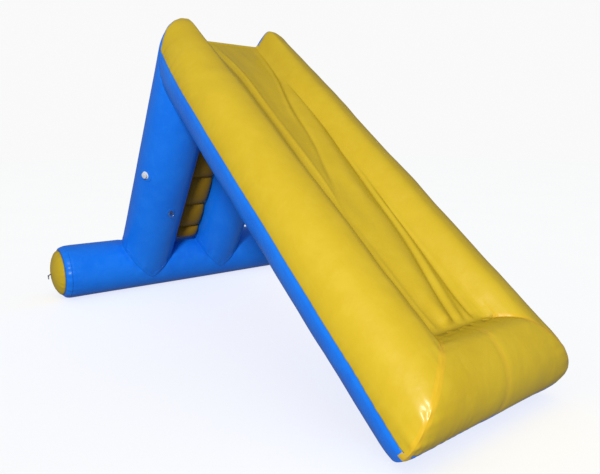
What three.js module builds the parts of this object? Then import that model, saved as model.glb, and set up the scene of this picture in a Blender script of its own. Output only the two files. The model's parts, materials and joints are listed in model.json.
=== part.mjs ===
import * as THREE from "three";

// Inflatable A-frame pool slide: millimetres, +Z up, +Y towards the climbing side, X across the slide.

// ---- driving dimensions -------------------------------------------------------------------------------------------
const SLOPE = THREE.MathUtils.degToRad(36.82); // incline of the sliding bed
const RAIL_R = 284; // radius of the side rails and of the front bumper
const RAIL_X = 392; // half distance between the rail axes
const LEG_R = 249; // radius of the legs
const LEG_X = 387; // half distance between the leg axes
const LEG_AT = 2996; // distance up the rail axis at which the leg axis meets it
const BASE_R = 250; // radius of the base tube
const BASE_Y = 3630; // base tube axis behind the bumper axis
const BASE_HALF = 1204; // half length of the base tube, to the seam of its end caps
const CAP_R = 212; // radius of the end cap seam
const CAP_BULGE = 76; // how far an end cap stands out of its seam
const MID_Y = 1796.92; // middle of the whole object behind the bumper axis
const SKIN = 3; // modelled wall of the coated fabric
const WEB = 2; // modelled wall of the inner webs
const GAP = 0.4; // clearance at welded edges
const CREASE_D = -155; // crease between rail and floor, across from the rail axis
const CREASE_H = 162; // and above the rail axis plane
const TOP_CREASE_D = -80; // the same crease at the top end
const TOP_CREASE_H = 106;
const FLOOR_END = 3225; // top end of the floor, up the rail axis
const UNDER_H = -162; // underside sheet of the floor
const FACET = 6; // half angle of the flat that the bumper rests on, in degrees
const BASE_SIDES = 28;
const TAPE = 1.5; // thickness of a welded tape
const TAPE_HALF = 22; // half width of a welded tape
const PAD_HALF_X = 137; // half width of the climbing pad
const PAD_CUTS = [300, 455, 745, 1080, 1400, 1700, 1985]; // waists of the climbing pad, up the leg from the base tube axis
const PAD_BACK = 40; // its middle plane, behind the leg axes
const PAD_DEPTH = 95; // half depth of a rung
const PAD_WAIST = 45; // half depth at a waist
const VALVE_UP = 1205; // valve centre up the leg
const RING_UP = 875; // ring patch up the leg
const RING_ANGLE = 85.8;
const PATCH_R = 43;

const rad = THREE.MathUtils.degToRad;
const cosA = Math.cos(SLOPE),
  sinA = Math.sin(SLOPE);
const BUMPER_Z = RAIL_R * Math.cos(rad(FACET));
const BASE_Z = BASE_R * Math.cos(Math.PI / BASE_SIDES);

// Bed coordinates: x across, t up the rail axis, h square to the bed.
const bed = (x, t, h) => [x, t * cosA - h * sinA - MID_Y, BUMPER_Z + t * sinA + h * cosA];

// Leg direction, from the base tube axis to the rail axis, in world and in bed terms.
const apex = [LEG_AT * cosA, BUMPER_Z + LEG_AT * sinA];
const LEG_LEN = Math.hypot(apex[0] - BASE_Y, apex[1] - BASE_Z);
const legY = (apex[0] - BASE_Y) / LEG_LEN,
  legZ = (apex[1] - BASE_Z) / LEG_LEN;
const ls = legY * cosA + legZ * sinA, // along the bed
  ln = -legY * sinA + legZ * cosA; // square to the bed

// ---- mesh helpers -------------------------------------------------------------------------------------------------
class Builder {
  constructor() {
    this.pos = [];
    this.tri = [];
    this.ids = new Map();
  }
  v(p) {
    const key = p.map((c) => Math.round(c * 500)).join();
    let id = this.ids.get(key);
    if (id === undefined) {
      id = this.pos.length / 3;
      this.pos.push(...p);
      this.ids.set(key, id);
    }
    return id;
  }
  face(a, b, c) {
    if (a !== b && b !== c && a !== c) this.tri.push(a, b, c);
  }
  quad(a, b, c, d) {
    this.face(a, b, c);
    this.face(a, c, d);
  }
  geometry() {
    let vol = 0;
    const P = this.pos,
      T = this.tri;
    for (let i = 0; i < T.length; i += 3) {
      const [a, b, c] = [3 * T[i], 3 * T[i + 1], 3 * T[i + 2]];
      vol +=
        P[a] * (P[b + 1] * P[c + 2] - P[b + 2] * P[c + 1]) -
        P[a + 1] * (P[b] * P[c + 2] - P[b + 2] * P[c]) +
        P[a + 2] * (P[b] * P[c + 1] - P[b + 1] * P[c]);
    }
    if (vol < 0) for (let i = 0; i < T.length; i += 3) [T[i + 1], T[i + 2]] = [T[i + 2], T[i + 1]];
    const g = new THREE.BufferGeometry();
    g.setAttribute("position", new THREE.Float32BufferAttribute(P, 3));
    g.setIndex(T);
    g.computeVertexNormals();
    return g;
  }
}

// A sheet of thickness: f(i, j, w) gives the outer (w = 0) and the inner (w = 1) face over a grid of nu by nv cells.
function sheet(nu, nv, f, { closed = false, skip = () => false } = {}) {
  const b = new Builder();
  const at = (i, j, w) => b.v(f(closed ? i % nu : i, j, w));
  const open = (i, j) => {
    if (j < 0 || j >= nv) return true;
    if (closed) i = (i + nu) % nu;
    else if (i < 0 || i >= nu) return true;
    return skip(i, j);
  };
  for (let i = 0; i < nu; i++)
    for (let j = 0; j < nv; j++) {
      if (skip(i, j)) continue;
      b.quad(at(i, j, 0), at(i + 1, j, 0), at(i + 1, j + 1, 0), at(i, j + 1, 0));
      b.quad(at(i, j, 1), at(i, j + 1, 1), at(i + 1, j + 1, 1), at(i + 1, j, 1));
      const wall = (p, q) => b.quad(at(...q, 0), at(...p, 0), at(...p, 1), at(...q, 1));
      if (open(i, j - 1)) wall([i, j], [i + 1, j]);
      if (open(i + 1, j)) wall([i + 1, j], [i + 1, j + 1]);
      if (open(i, j + 1)) wall([i + 1, j + 1], [i, j + 1]);
      if (open(i - 1, j)) wall([i, j + 1], [i, j]);
    }
  return b.geometry();
}

// A surface closed both ways, such as a bent wire that ends where it starts.
function torus(nu, nv, f) {
  const b = new Builder();
  const at = (i, j) => b.v(f(i % nu, j % nv));
  for (let i = 0; i < nu; i++)
    for (let j = 0; j < nv; j++) b.quad(at(i, j), at(i + 1, j), at(i + 1, j + 1), at(i, j + 1));
  return b.geometry();
}

const lerp = (a, b, u) => a + (b - a) * u;
function table(rows, t, k) {
  if (t <= rows[0][0]) return rows[0][k];
  for (let i = 1; i < rows.length; i++)
    if (t <= rows[i][0] || i === rows.length - 1)
      return lerp(rows[i - 1][k], rows[i][k], (t - rows[i - 1][0]) / (rows[i][0] - rows[i - 1][0]));
}

// ---- cross-section of the bed -------------------------------------------------------------------------------------
// Half width of the rail's outer side, the crease, and the crest height, at knots up the bed: straight between knots.
const KNOTS = [500, 1100, 1700, 2300, 2650, 2850, LEG_AT, 3170];
const OUT_END = LEG_X + LEG_R - RAIL_X;
const SECTION = [
  [2300, RAIL_R, CREASE_D, CREASE_H, RAIL_R],
  [2650, 273, -149, 157, RAIL_R],
  [2850, 256, -128, 142, RAIL_R],
  [LEG_AT, OUT_END, -108, 127, RAIL_R],
  [3170, OUT_END, -88, 112, RAIL_R],
  [3240, OUT_END, TOP_CREASE_D, TOP_CREASE_H, RAIL_R - 20],
];
const outHalf = (t) => Math.max(OUT_END, table(SECTION, t, 1));
const creaseD = (t) => table(SECTION, t, 2);
const creaseH = (t) => table(SECTION, t, 3);
const crestH = (t) => table(SECTION, t, 4);
const seamAngle = (t) => lerp(2, 14, Math.max(0, t) / 3240);

// Inner half of the rail's top: a curve from the crest to the crease.
function innerCurve(u, dc, hc, H) {
  const P = [
    [0, H],
    [0.56 * dc, H],
    [dc - 2, hc + 0.58 * (H - hc)],
    [dc, hc],
  ];
  const a = (1 - u) ** 3,
    b = 3 * u * (1 - u) ** 2,
    c = 3 * u * u * (1 - u),
    e = u ** 3;
  return [
    a * P[0][0] + b * P[1][0] + c * P[2][0] + e * P[3][0],
    a * P[0][1] + b * P[1][1] + c * P[2][1] + e * P[3][1],
  ];
}
// A point of a section curve moved by off towards the inside of the tube.
function inset(curve, u, off) {
  const e = 1e-3,
    p = curve(u),
    a = curve(Math.max(0, u - e)),
    b = curve(Math.min(1, u + e));
  const tx = b[0] - a[0],
    ty = b[1] - a[1],
    L = Math.hypot(tx, ty);
  let n = [-ty / L, tx / L];
  if (n[0] * p[0] + n[1] * p[1] > 0) n = [-n[0], -n[1]];
  return [p[0] + off * n[0], p[1] + off * n[1]];
}
const ARC = 6,
  CURVE = 6; // divisions of the outer arc and of the inner curve
const TOP_N = ARC + CURVE;
// top(i, t, off): section point i of the yellow top skin, from the seam (0) over the crest to the crease (TOP_N)
function top(i, t, off, trim = 0) {
  const a = outHalf(t);
  if (i <= ARC) {
    const s0 = seamAngle(t) + trim,
      th = rad(lerp(s0, 90, i / ARC));
    return [(a - off) * Math.cos(th), (crestH(t) - off) * Math.sin(th)];
  }
  const dc = creaseD(t),
    hc = creaseH(t);
  const q = inset((u) => innerCurve(u, dc, hc, crestH(t)), (i - ARC) / CURVE, off);
  return i === TOP_N ? [dc + off, hc + GAP] : q;
}
const FLAT = 90 - 36.82;
const LOW = [0, -12, -24, -36, -(FLAT - FACET), -(FLAT + FACET), -70, -80, -90];
const LOW_N = LOW.length + CURVE;
// low(i, t, off): section point i of the blue lower skin, from the seam (0) under the tube to the lower crease (LOW_N)
function low(i, t, off, trim = 0) {
  const a = outHalf(t);
  if (i <= LOW.length) {
    const th = rad(i === 0 ? seamAngle(t) - trim : LOW[i - 1]);
    return [(a - off) * Math.cos(th), (RAIL_R - off) * Math.sin(th)];
  }
  const q = inset((u) => innerCurve(u, CREASE_D, CREASE_H, RAIL_R), (i - LOW.length) / CURVE, off);
  return i === LOW_N ? [CREASE_D + off, -CREASE_H - GAP] : [q[0], -q[1]];
}

// Where a section point meets the leg's wall: side +1 behind the leg axis, -1 in front of it.
function atElbow(section, i, off, trim, side) {
  let t = LEG_AT + side * 120,
    p;
  for (let k = 0; k < 60; k++) {
    p = section(i, t, off, trim);
    const x = RAIL_X + p[0] - LEG_X,
      R = LEG_R - off;
    const want = LEG_AT + (p[1] * ls + side * Math.sqrt(Math.max(0, R * R - x * x))) / ln;
    t = 0.5 * (t + want);
  }
  return [t, p];
}

// ---- panels of the bed --------------------------------------------------------------------------------------------
const SEAM_TRIM = 0.07; // degrees
const meshes = [];
const MATERIAL = {
  yellow: new THREE.MeshStandardMaterial({ name: "yellow_pvc", color: 0xdcbc2e, roughness: 0.35 }),
  blue: new THREE.MeshStandardMaterial({ name: "blue_pvc", color: 0x1f6fd0, roughness: 0.35 }),
  white: new THREE.MeshStandardMaterial({ name: "valve_plastic", color: 0xd8dadb, roughness: 0.4 }),
  rubber: new THREE.MeshStandardMaterial({ name: "seal_rubber", color: 0x222222, roughness: 0.8 }),
  steel: new THREE.MeshStandardMaterial({ name: "stainless_steel", color: 0xb9bdc0, metalness: 0.9, roughness: 0.3 }),
  web: new THREE.MeshStandardMaterial({ name: "webbing_navy", color: 0x14243f, roughness: 0.8 }),
  inner: new THREE.MeshStandardMaterial({ name: "inner_fabric", color: 0xd9dcd8, roughness: 0.7 }),
};
function add(name, geometry, material) {
  const mesh = new THREE.Mesh(geometry, MATERIAL[material]);
  mesh.name = name;
  meshes.push(mesh);
  return mesh;
}
const SIDES = [
  ["left", -1],
  ["right", 1],
];

for (const [side, sx] of SIDES) {
  const rail = (section, N, elbowSide) => {
    const stations = KNOTS.length + 1;
    return (i, j, w, trim = SEAM_TRIM) => {
      const off = w * SKIN;
      const end = atElbow(section, i, off, trim, elbowSide(i))[0] - GAP;
      let t;
      if (j === 0) {
        t = 0;
        for (let k = 0; k < 40; k++) t = -section(i, t, off, trim)[0] + GAP;
      } else t = j === stations ? end : Math.min(KNOTS[j - 1], end);
      const p = section(i, t, off, trim);
      return bed(sx * (RAIL_X + p[0]), t, p[1]);
    };
  };
  add("rail_top_skin_" + side, sheet(TOP_N, KNOTS.length + 1, rail(top, TOP_N, () => 1)), "yellow");
  add("rail_lower_skin_" + side, sheet(LOW_N, KNOTS.length + 1, rail(low, LOW_N, (i) => (i === 0 ? 1 : -1))), "blue");

  const across = [0, 115, 225];
  const bumper = (section) => (i, j, w) => {
    const p = section(i, 0, w * SKIN, SEAM_TRIM);
    const x = j < across.length ? (j === 0 ? GAP : across[j]) : RAIL_X + p[0] - GAP;
    return bed(sx * x, -p[0], p[1]);
  };
  add("bumper_top_skin_" + side, sheet(TOP_N, across.length, bumper(top)), "yellow");
  add("bumper_lower_skin_" + side, sheet(LOW_N, across.length, bumper(low)), "blue");

  // rail web: from the upper crease to the lower one
  const webT = [-CREASE_D + 45, ...KNOTS, FLOOR_END - 40];
  add(
    "rail_web_" + side,
    sheet(
      webT.length - 1,
      1,
      (i, j, w) => {
        const t = webT[i],
          d = j === 0 ? CREASE_D : creaseD(t),
          h = j === 0 ? UNDER_H + SKIN + GAP : creaseH(t) - GAP;
        return bed(sx * (RAIL_X + d + GAP + w * WEB), t, h);
      },
    ),
    "inner",
  );
}

// Sliding floor: lengthwise lobes between the webs.
const FLOOR_T = [-CREASE_D + 2 * GAP, ...KNOTS, FLOOR_END];
const WEB_X = [-0.335, 0.335]; // floor webs, as a share of the floor's half width
const LOBE = [
  [155, 0],
  [500, 1],
  [2850, 1],
  [3170, 0.25],
  [3225, 0.12],
];
function floorH(u, t) {
  // u from -1 to 1 across
  const v = (Math.abs(u) < 0.335 ? (u + 0.335) / 0.67 : (Math.abs(u) - 0.335) / 0.665) % 1;
  const lobe = Math.sin(Math.PI * v);
  const dip = Math.min(1, (1 - Math.abs(u)) / 0.2);
  return creaseH(t) + table(LOBE, t, 1) * (14 * lobe - 14 * dip);
}
const floorHalf = (t) => RAIL_X + creaseD(t) - 1.5 * GAP;
const FLOOR_U = [-1, -0.87, -0.67, -0.48, -0.335, -0.2, 0, 0.2, 0.335, 0.48, 0.67, 0.87, 1];
add(
  "sliding_floor",
  sheet(FLOOR_U.length - 1, FLOOR_T.length - 1, (i, j, w) => {
    const t = FLOOR_T[j],
      u = FLOOR_U[i];
    return bed(u * floorHalf(t), t, floorH(u, t) - w * SKIN);
  }),
  "yellow",
);
add(
  "floor_underside",
  sheet(4, 3, (i, j, w) => {
    const x = lerp(-1, 1, i / 4) * (RAIL_X + CREASE_D - 1.5 * GAP);
    return bed(x, lerp(FLOOR_T[0], FLOOR_END, j / 3), UNDER_H + w * SKIN);
  }),
  "blue",
);
WEB_X.forEach((u, n) => {
  const T = [-CREASE_D + 60, ...KNOTS, FLOOR_END - 40];
  add(
    "floor_web_" + ["left", "right"][n],
    sheet(T.length - 1, 1, (i, j, w) => {
      const t = T[i];
      const h = j === 0 ? UNDER_H + SKIN + GAP : floorH(u, t) - SKIN - 1.5;
      return bed(u * floorHalf(t) + (w - 0.5) * WEB, t, h);
    }),
    "inner",
  );
});
add(
  "bumper_web",
  sheet(4, 1, (i, j, w) => {
    const x = lerp(-1, 1, i / 4) * (RAIL_X + CREASE_D - 12);
    return bed(x, -CREASE_D - GAP - w * WEB, j === 0 ? -CREASE_H + GAP : CREASE_H - GAP);
  }),
  "inner",
);
// End panel of the floor's chamber, bulged a little by the air.
add(
  "floor_end_panel",
  sheet(12, 4, (i, j, w) => {
    const v = j / 4,
      u = lerp(-1, 1, i / 12);
    const half = lerp(RAIL_X + CREASE_D, RAIL_X + creaseD(FLOOR_END), v) - 1.2;
    const bulge = 14 * (1 - u ** 4) * (1 - (2 * v - 1) ** 2);
    return bed(u * half, FLOOR_END + GAP + bulge + (1 - w) * SKIN, lerp(UNDER_H + 0.2, TOP_CREASE_H + 0.8, v));
  }),
  "blue",
);

// ---- legs: open tubes, mitred into the rail ends, standing on the base tube -----------------------------------------
const LEG_FOOT = BASE_R + 4;
// Leg coordinates: x across, q square to the leg axis (towards the rear), k along it from where it meets the rail axis.
const leg = (x, q, k) => bed(x, LEG_AT + q * ln + k * ls, -q * ls + k * ln);
function legRing(w, extra = 0) {
  // [x, q, k at the top] round the leg
  const off = w * SKIN + extra,
    R = LEG_R - off,
    ring = [];
  const from = (section, i, side) => {
    const [t, p] = atElbow(section, i, off, 0, side);
    const x = RAIL_X + p[0];
    const q = side * Math.sqrt(Math.max(0, R * R - (x - LEG_X) ** 2));
    ring.push([x, q, (p[1] + q * ls) / ln]);
  };
  from(low, 1, 1); // equator
  from(low, 0, 1); // seam
  for (let i = 1; i <= TOP_N; i++) from(top, i, 1);
  const free = (x, side, h) => {
    const q = side * Math.sqrt(Math.max(0, R * R - (x - LEG_X) ** 2));
    ring.push([x, q, (h + q * ls) / ln]);
  };
  // behind, below the crease: down the web line, then under the floor
  const inner = LEG_X - R;
  free(RAIL_X + creaseD(3220) - 2 - (w ? -off : 0) * 0.2, 1, UNDER_H - 1.2);
  free(RAIL_X - 122, 1, UNDER_H - 1.2);
  free(RAIL_X + CREASE_D - 25, 1, UNDER_H - 1.2);
  free(lerp(RAIL_X + CREASE_D - 25, inner, 0.55), 1, UNDER_H - 1.2);
  free(lerp(RAIL_X + CREASE_D - 25, inner, 0.88), 1, UNDER_H - 1.2);
  free(inner, 1, UNDER_H - 1.2);
  free(lerp(RAIL_X + CREASE_D - 25, inner, 0.88), -1, UNDER_H - 1.2);
  free(lerp(RAIL_X + CREASE_D - 25, inner, 0.55), -1, UNDER_H - 1.2);
  free(RAIL_X + CREASE_D - 14, -1, UNDER_H - 1.2);
  for (let i = LOW_N; i >= 2; i--) from(low, i, -1);
  return ring;
}
const RINGS = [legRing(0), legRing(1)];
const VALVE_CELL = RINGS[0].length - 3; // the strip of the leg that the valve goes through
const LEG_ROWS = { left: [-1650, -1330, -VALVE_CUT(1), -VALVE_CUT(-1), -600], right: [-1500, -1000, -600] };
function VALVE_CUT(s) {
  return LEG_LEN - VALVE_UP + s * 26;
}
for (const [side, sx] of SIDES) {
  const rows = LEG_ROWS[side],
    N = RINGS[0].length,
    M = rows.length + 1;
  add(
    "leg_" + side,
    sheet(
      N,
      M,
      (i, j, w) => {
        const [x, q, kTop] = RINGS[w][i];
        const foot = Math.sqrt(LEG_FOOT ** 2 - q * q) - LEG_LEN;
        const k = j === 0 ? foot : j === M ? kTop - GAP : rows[j - 1];
        return leg(sx * x, q, k);
      },
      { closed: true, skip: (i, j) => sx < 0 && i === VALVE_CELL && j === 3 },
    ),
    "blue",
  );
}

// ---- base tube ------------------------------------------------------------------------------------------------------
const baseAt = (x, r, th) => [x, BASE_Y + r * Math.cos(th) - MID_Y, BASE_Z + r * Math.sin(th)];
const baseAngle = (i) => rad(-90) + ((i + 0.5) / BASE_SIDES) * 2 * Math.PI;
const BASE_X = [
  [-BASE_HALF, CAP_R],
  [-1192, 232],
  [-1165, 245],
  [-1125, BASE_R],
  [-422, BASE_R],
  [-352, BASE_R],
  [352, BASE_R],
  [422, BASE_R],
  [1125, BASE_R],
  [1165, 245],
  [1192, 232],
  [BASE_HALF, CAP_R],
];
const legTurn = Math.atan2(legZ, legY);
add(
  "base_tube",
  sheet(
    BASE_SIDES,
    BASE_X.length - 1,
    (i, j, w) => {
      const [x, r] = BASE_X[j];
      const lean = j === 0 ? 1 : j === BASE_X.length - 1 ? -1 : 0;
      return baseAt(x + lean * w * 2, r - w * SKIN, baseAngle(i));
    },
    {
      closed: true,
      skip: (i, j) => {
        const mid = (baseAngle(i) + baseAngle(i + 1)) / 2;
        return (j === 4 || j === 6) && Math.abs(Math.atan2(Math.sin(mid - legTurn), Math.cos(mid - legTurn))) < rad(7);
      },
    },
  ),
  "blue",
);
for (const [side, sx] of SIDES) {
  const rings = [1, 0.86, 0.66, 0.4, 0];
  add(
    "base_end_cap_" + side,
    sheet(
      BASE_SIDES,
      rings.length - 1,
      (i, j, w) => {
        const r = rings[j] * (CAP_R - w * SKIN - GAP);
        const x = BASE_HALF + GAP + (CAP_BULGE - w * SKIN) * Math.pow(1 - rings[j] ** 2, 0.62);
        return baseAt(sx * x, r, baseAngle(i));
      },
      { closed: true },
    ),
    "yellow",
  );
}

// ---- climbing pad: a front and a rear skin that meet at their edge --------------------------------------------------
const PER_RUNG = 4;
const PAD_K = [];
PAD_CUTS.forEach((k, n) => {
  if (n === 0) return PAD_K.push([k, 0]);
  for (let a = 1; a <= PER_RUNG; a++) PAD_K.push([lerp(PAD_CUTS[n - 1], k, a / PER_RUNG), [0.86, 1, 0.86, 0][a - 1]]);
});
for (const [face, dir] of [
  ["front", -1],
  ["rear", 1],
])
  add(
    "climbing_pad_" + face,
    sheet(6, PAD_K.length - 1, (i, j, w) => {
      const u = [-1, -0.873, -0.49, 0.021, 0.513, 0.887, 1][i],
        end = j === 0 || j === PAD_K.length - 1;
      const full = PAD_K[j][1] ? PAD_DEPTH * PAD_K[j][1] : end ? 5 : PAD_WAIST;
      const depth = Math.abs(u) === 1 ? 4 : Math.max(4, full * (Math.abs(u) > 0.8 ? 0.72 : 1));
      return leg(u * PAD_HALF_X, PAD_BACK + dir * (depth - w * SKIN), PAD_K[j][0] - LEG_LEN);
    }),
    "yellow",
  );

// ---- welded tapes ---------------------------------------------------------------------------------------------------
const proud = (w) => -(GAP + (1 - w) * TAPE);
for (const [side, sx] of SIDES) {
  add(
    "mitre_tape_" + side,
    sheet(TOP_N - 1, 2, (i, j, w) => {
      const p = top(i, 0, proud(w));
      const x = RAIL_X + p[0] - (j === 2 ? TAPE_HALF : 0),
        t = -p[0] + (j === 0 ? TAPE_HALF : 0);
      return bed(sx * x, t, p[1]);
    }),
    "yellow",
  );
  add(
    "corner_patch_" + side,
    sheet(2, 2, (i, j, w) => {
      const p = low(i + 1, 0, proud(w));
      const x = RAIL_X + p[0] - (j === 2 ? 1.7 * TAPE_HALF : 0),
        t = -p[0] + (j === 0 ? 1.7 * TAPE_HALF : 0);
      return bed(sx * x, t, p[1]);
    }),
    "yellow",
  );
  // elbow tape: over the mitre between rail and leg
  add(
    "elbow_tape_" + side,
    sheet(TOP_N - 1, 2, (i, j, w) => {
      const off = proud(w) - 2.2;
      const [t, p] = atElbow(top, i, off, 0, 1);
      if (j === 0) {
        const q = top(i, t - TAPE_HALF, off);
        return bed(sx * (RAIL_X + q[0]), t - TAPE_HALF, q[1]);
      }
      if (j === 1) return bed(sx * (RAIL_X + p[0]), t, p[1]);
      return bed(sx * (RAIL_X + p[0]), t - (TAPE_HALF * ls) / ln, p[1] - TAPE_HALF);
    }),
    "blue",
  );
  const ring = [legRing(0, proud(1)), legRing(0, proud(0))];
  add(
    "leg_collar_" + side,
    sheet(
      ring[0].length,
      1,
      (i, j, w) => {
        const [x, q] = ring[1 - w][i];
        const foot = Math.sqrt(Math.max(900, (BASE_R + 3.7) ** 2 - q * q)) - LEG_LEN;
        return leg(sx * x, q, foot + 2 * TAPE_HALF * j);
      },
      { closed: true },
    ),
    "blue",
  );
  const shoulder = [
    [1165, 245, 0.3, 0.95],
    [1192, 232, 0.62, 0.78],
    [1201, 217, 0.8, 0.6],
  ];
  add(
    "end_band_" + side,
    sheet(
      BASE_SIDES,
      2,
      (i, j, w) => {
        const [x, r, nx, nr] = shoulder[j];
        const off = 0.6 + (1 - w) * TAPE;
        return baseAt(sx * (x + nx * off), r + nr * off, baseAngle(i));
      },
      { closed: true },
    ),
    "blue",
  );
  // tape over the long seam between the yellow and the blue skin of the rail
  const T = [-225, ...KNOTS.filter((k) => k < LEG_AT), LEG_AT - 60];
  add(
    "side_seam_tape_" + side,
    sheet(2, T.length - 1, (i, j, w) => {
      const t = T[j],
        a = outHalf(t),
        off = proud(w) - 0.2,
        th = rad(seamAngle(t) + (i - 1) * 4);
      return bed(sx * (RAIL_X + (a - off) * Math.cos(th)), t, (RAIL_R - off) * Math.sin(th));
    }),
    "blue",
  );
}
add(
  "bumper_middle_tape",
  sheet(TOP_N - 1, 1, (i, j, w) => {
    const p = top(i, 0, proud(w));
    return bed(lerp(-TAPE_HALF, TAPE_HALF, j), -p[0], p[1]);
  }),
  "yellow",
);

// ---- fittings -------------------------------------------------------------------------------------------------------
const vec = (a) => new THREE.Vector3(...a);
// A frame with its origin on a surface: n outwards, u and v along the surface.
function frameAt(o, n, u) {
  const N = n.clone().normalize(),
    U = u.clone().sub(N.clone().multiplyScalar(u.dot(N))).normalize(),
    V = N.clone().cross(U);
  return { o, N, U, V, at: (a, b, c) => o.clone().addScaledVector(U, a).addScaledVector(V, b).addScaledVector(N, c).toArray() };
}
const turned = (f, loop, n) =>
  torus(n, loop.length, (i, j) => {
    const a = (i / n) * 2 * Math.PI,
      [r, z] = loop[j];
    return f.at(r * Math.cos(a), r * Math.sin(a), z);
  });
// A wire along points, closed to itself or with flat ends.
function wire(points, r, n, closed, up) {
  const M = points.length,
    rows = [];
  for (let j = 0; j < M; j++) {
    const a = points[closed ? (j + M - 1) % M : Math.max(0, j - 1)],
      b = points[closed ? (j + 1) % M : Math.min(M - 1, j + 1)];
    const T = b.clone().sub(a).normalize(),
      S = T.clone().cross(up).normalize(),
      W = S.clone().cross(T);
    rows.push((i) => {
      const c = (i / n) * 2 * Math.PI;
      return points[j].clone().addScaledVector(S, r * Math.cos(c)).addScaledVector(W, r * Math.sin(c)).toArray();
    });
  }
  if (!closed) {
    rows.unshift(() => points[0].toArray());
    rows.push(() => points[M - 1].toArray());
  }
  return torus(n, rows.length, (i, j) => rows[j](i));
}
function extruded(f, shape, from, depth, segments) {
  // shape in the (u, n) plane of the frame, extruded along v
  const g = new THREE.ExtrudeGeometry(shape, { depth, bevelEnabled: false, curveSegments: segments, steps: 1 });
  const m = new THREE.Matrix4().makeBasis(f.U, f.N, f.U.clone().cross(f.N));
  g.translate(0, 0, from);
  g.applyMatrix4(m);
  g.translate(f.o.x, f.o.y, f.o.z);
  return g;
}

// Air valve on the outer side of the left leg
const A0 = RINGS[0][VALVE_CELL],
  A1 = RINGS[0][VALVE_CELL + 1];
const vx = (A0[0] + A1[0]) / 2,
  vq = (A0[1] + A1[1]) / 2,
  vk = VALVE_UP - LEG_LEN;
const valveO = vec(leg(-vx, vq, vk)),
  valveN = vec(leg(-vx - (vx - LEG_X), vq * 2, vk)).sub(valveO),
  legUp = new THREE.Vector3(0, legY, legZ);
const V = frameAt(valveO, valveN, legUp);
{
  // reinforcing patch, curved with the leg
  const phi0 = Math.atan2(vq, vx - LEG_X),
    rings = [20, 34, 47, 60];
  add(
    "valve_patch",
    sheet(
      20,
      3,
      (i, j, w) => {
        const a = (i / 20) * 2 * Math.PI,
          R = LEG_R + GAP + (1 - w) * TAPE,
          phi = phi0 + (rings[j] * Math.cos(a)) / LEG_R;
        return leg(-(LEG_X + R * Math.cos(phi)), R * Math.sin(phi), vk + rings[j] * Math.sin(a));
      },
      { closed: true },
    ),
    "blue",
  );
}
const VZ = 3.9; // flange seat above the fabric
add("valve_body", turned(V, [[13, -18], [17.5, -18], [17.5, VZ], [34.5, VZ], [34.5, VZ + 2], [31, VZ + 3.6], [22, VZ + 4.6], [22, 20], [19.5, 21.5], [13, 21.5]], 20), "white");
add("valve_clamp_ring", turned(V, [[17.9, -12], [28, -12], [31, -9], [31, -4], [17.9, -4]], 16), "white");
{
  const disc = new THREE.Shape().absarc(0, 0, 12.6, 0, 2 * Math.PI, false);
  disc.holes.push(new THREE.Path().absarc(0, 0, 2.5, 0, 2 * Math.PI, true));
  for (let n = 0; n < 4; n++) {
    const a = (n / 4) * 2 * Math.PI;
    disc.holes.push(new THREE.Path().absarc(7.5 * Math.cos(a), 7.5 * Math.sin(a), 2.9, 0, 2 * Math.PI, true));
  }
  const g = new THREE.ExtrudeGeometry(disc, { depth: 3, bevelEnabled: false, curveSegments: 8 });
  g.translate(0, 0, 3);
  g.applyMatrix4(new THREE.Matrix4().makeBasis(V.U, V.V, V.N));
  g.translate(V.o.x, V.o.y, V.o.z);
  add("valve_guide", g, "white");
}
add("valve_plunger", turned(V, [[0, -25], [15.5, -25], [15.5, -21.5], [2, -21.5], [2, 15], [5.4, 15.4], [5.4, 17], [0, 17]], 14), "white");
add("valve_seal", turned(V, [[13.3, -21.2], [15.3, -21.2], [15.3, -18.3], [13.3, -18.3]], 16), "rubber");
{
  const pts = [];
  for (let n = 0; n <= 36; n++) {
    const a = (n / 36) * 4 * 2 * Math.PI;
    pts.push(vec(V.at(3.9 * Math.cos(a), 3.9 * Math.sin(a), lerp(6.9, 14.2, n / 36))));
  }
  add("valve_spring", wire(pts, 0.55, 5, false, V.N), "steel");
}
add("valve_cap", turned(V, [[0, 27], [22, 27], [25.3, 25], [25.3, 9.8], [22.6, 9.8], [22.6, 23], [0, 23]], 20), "white");

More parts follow.
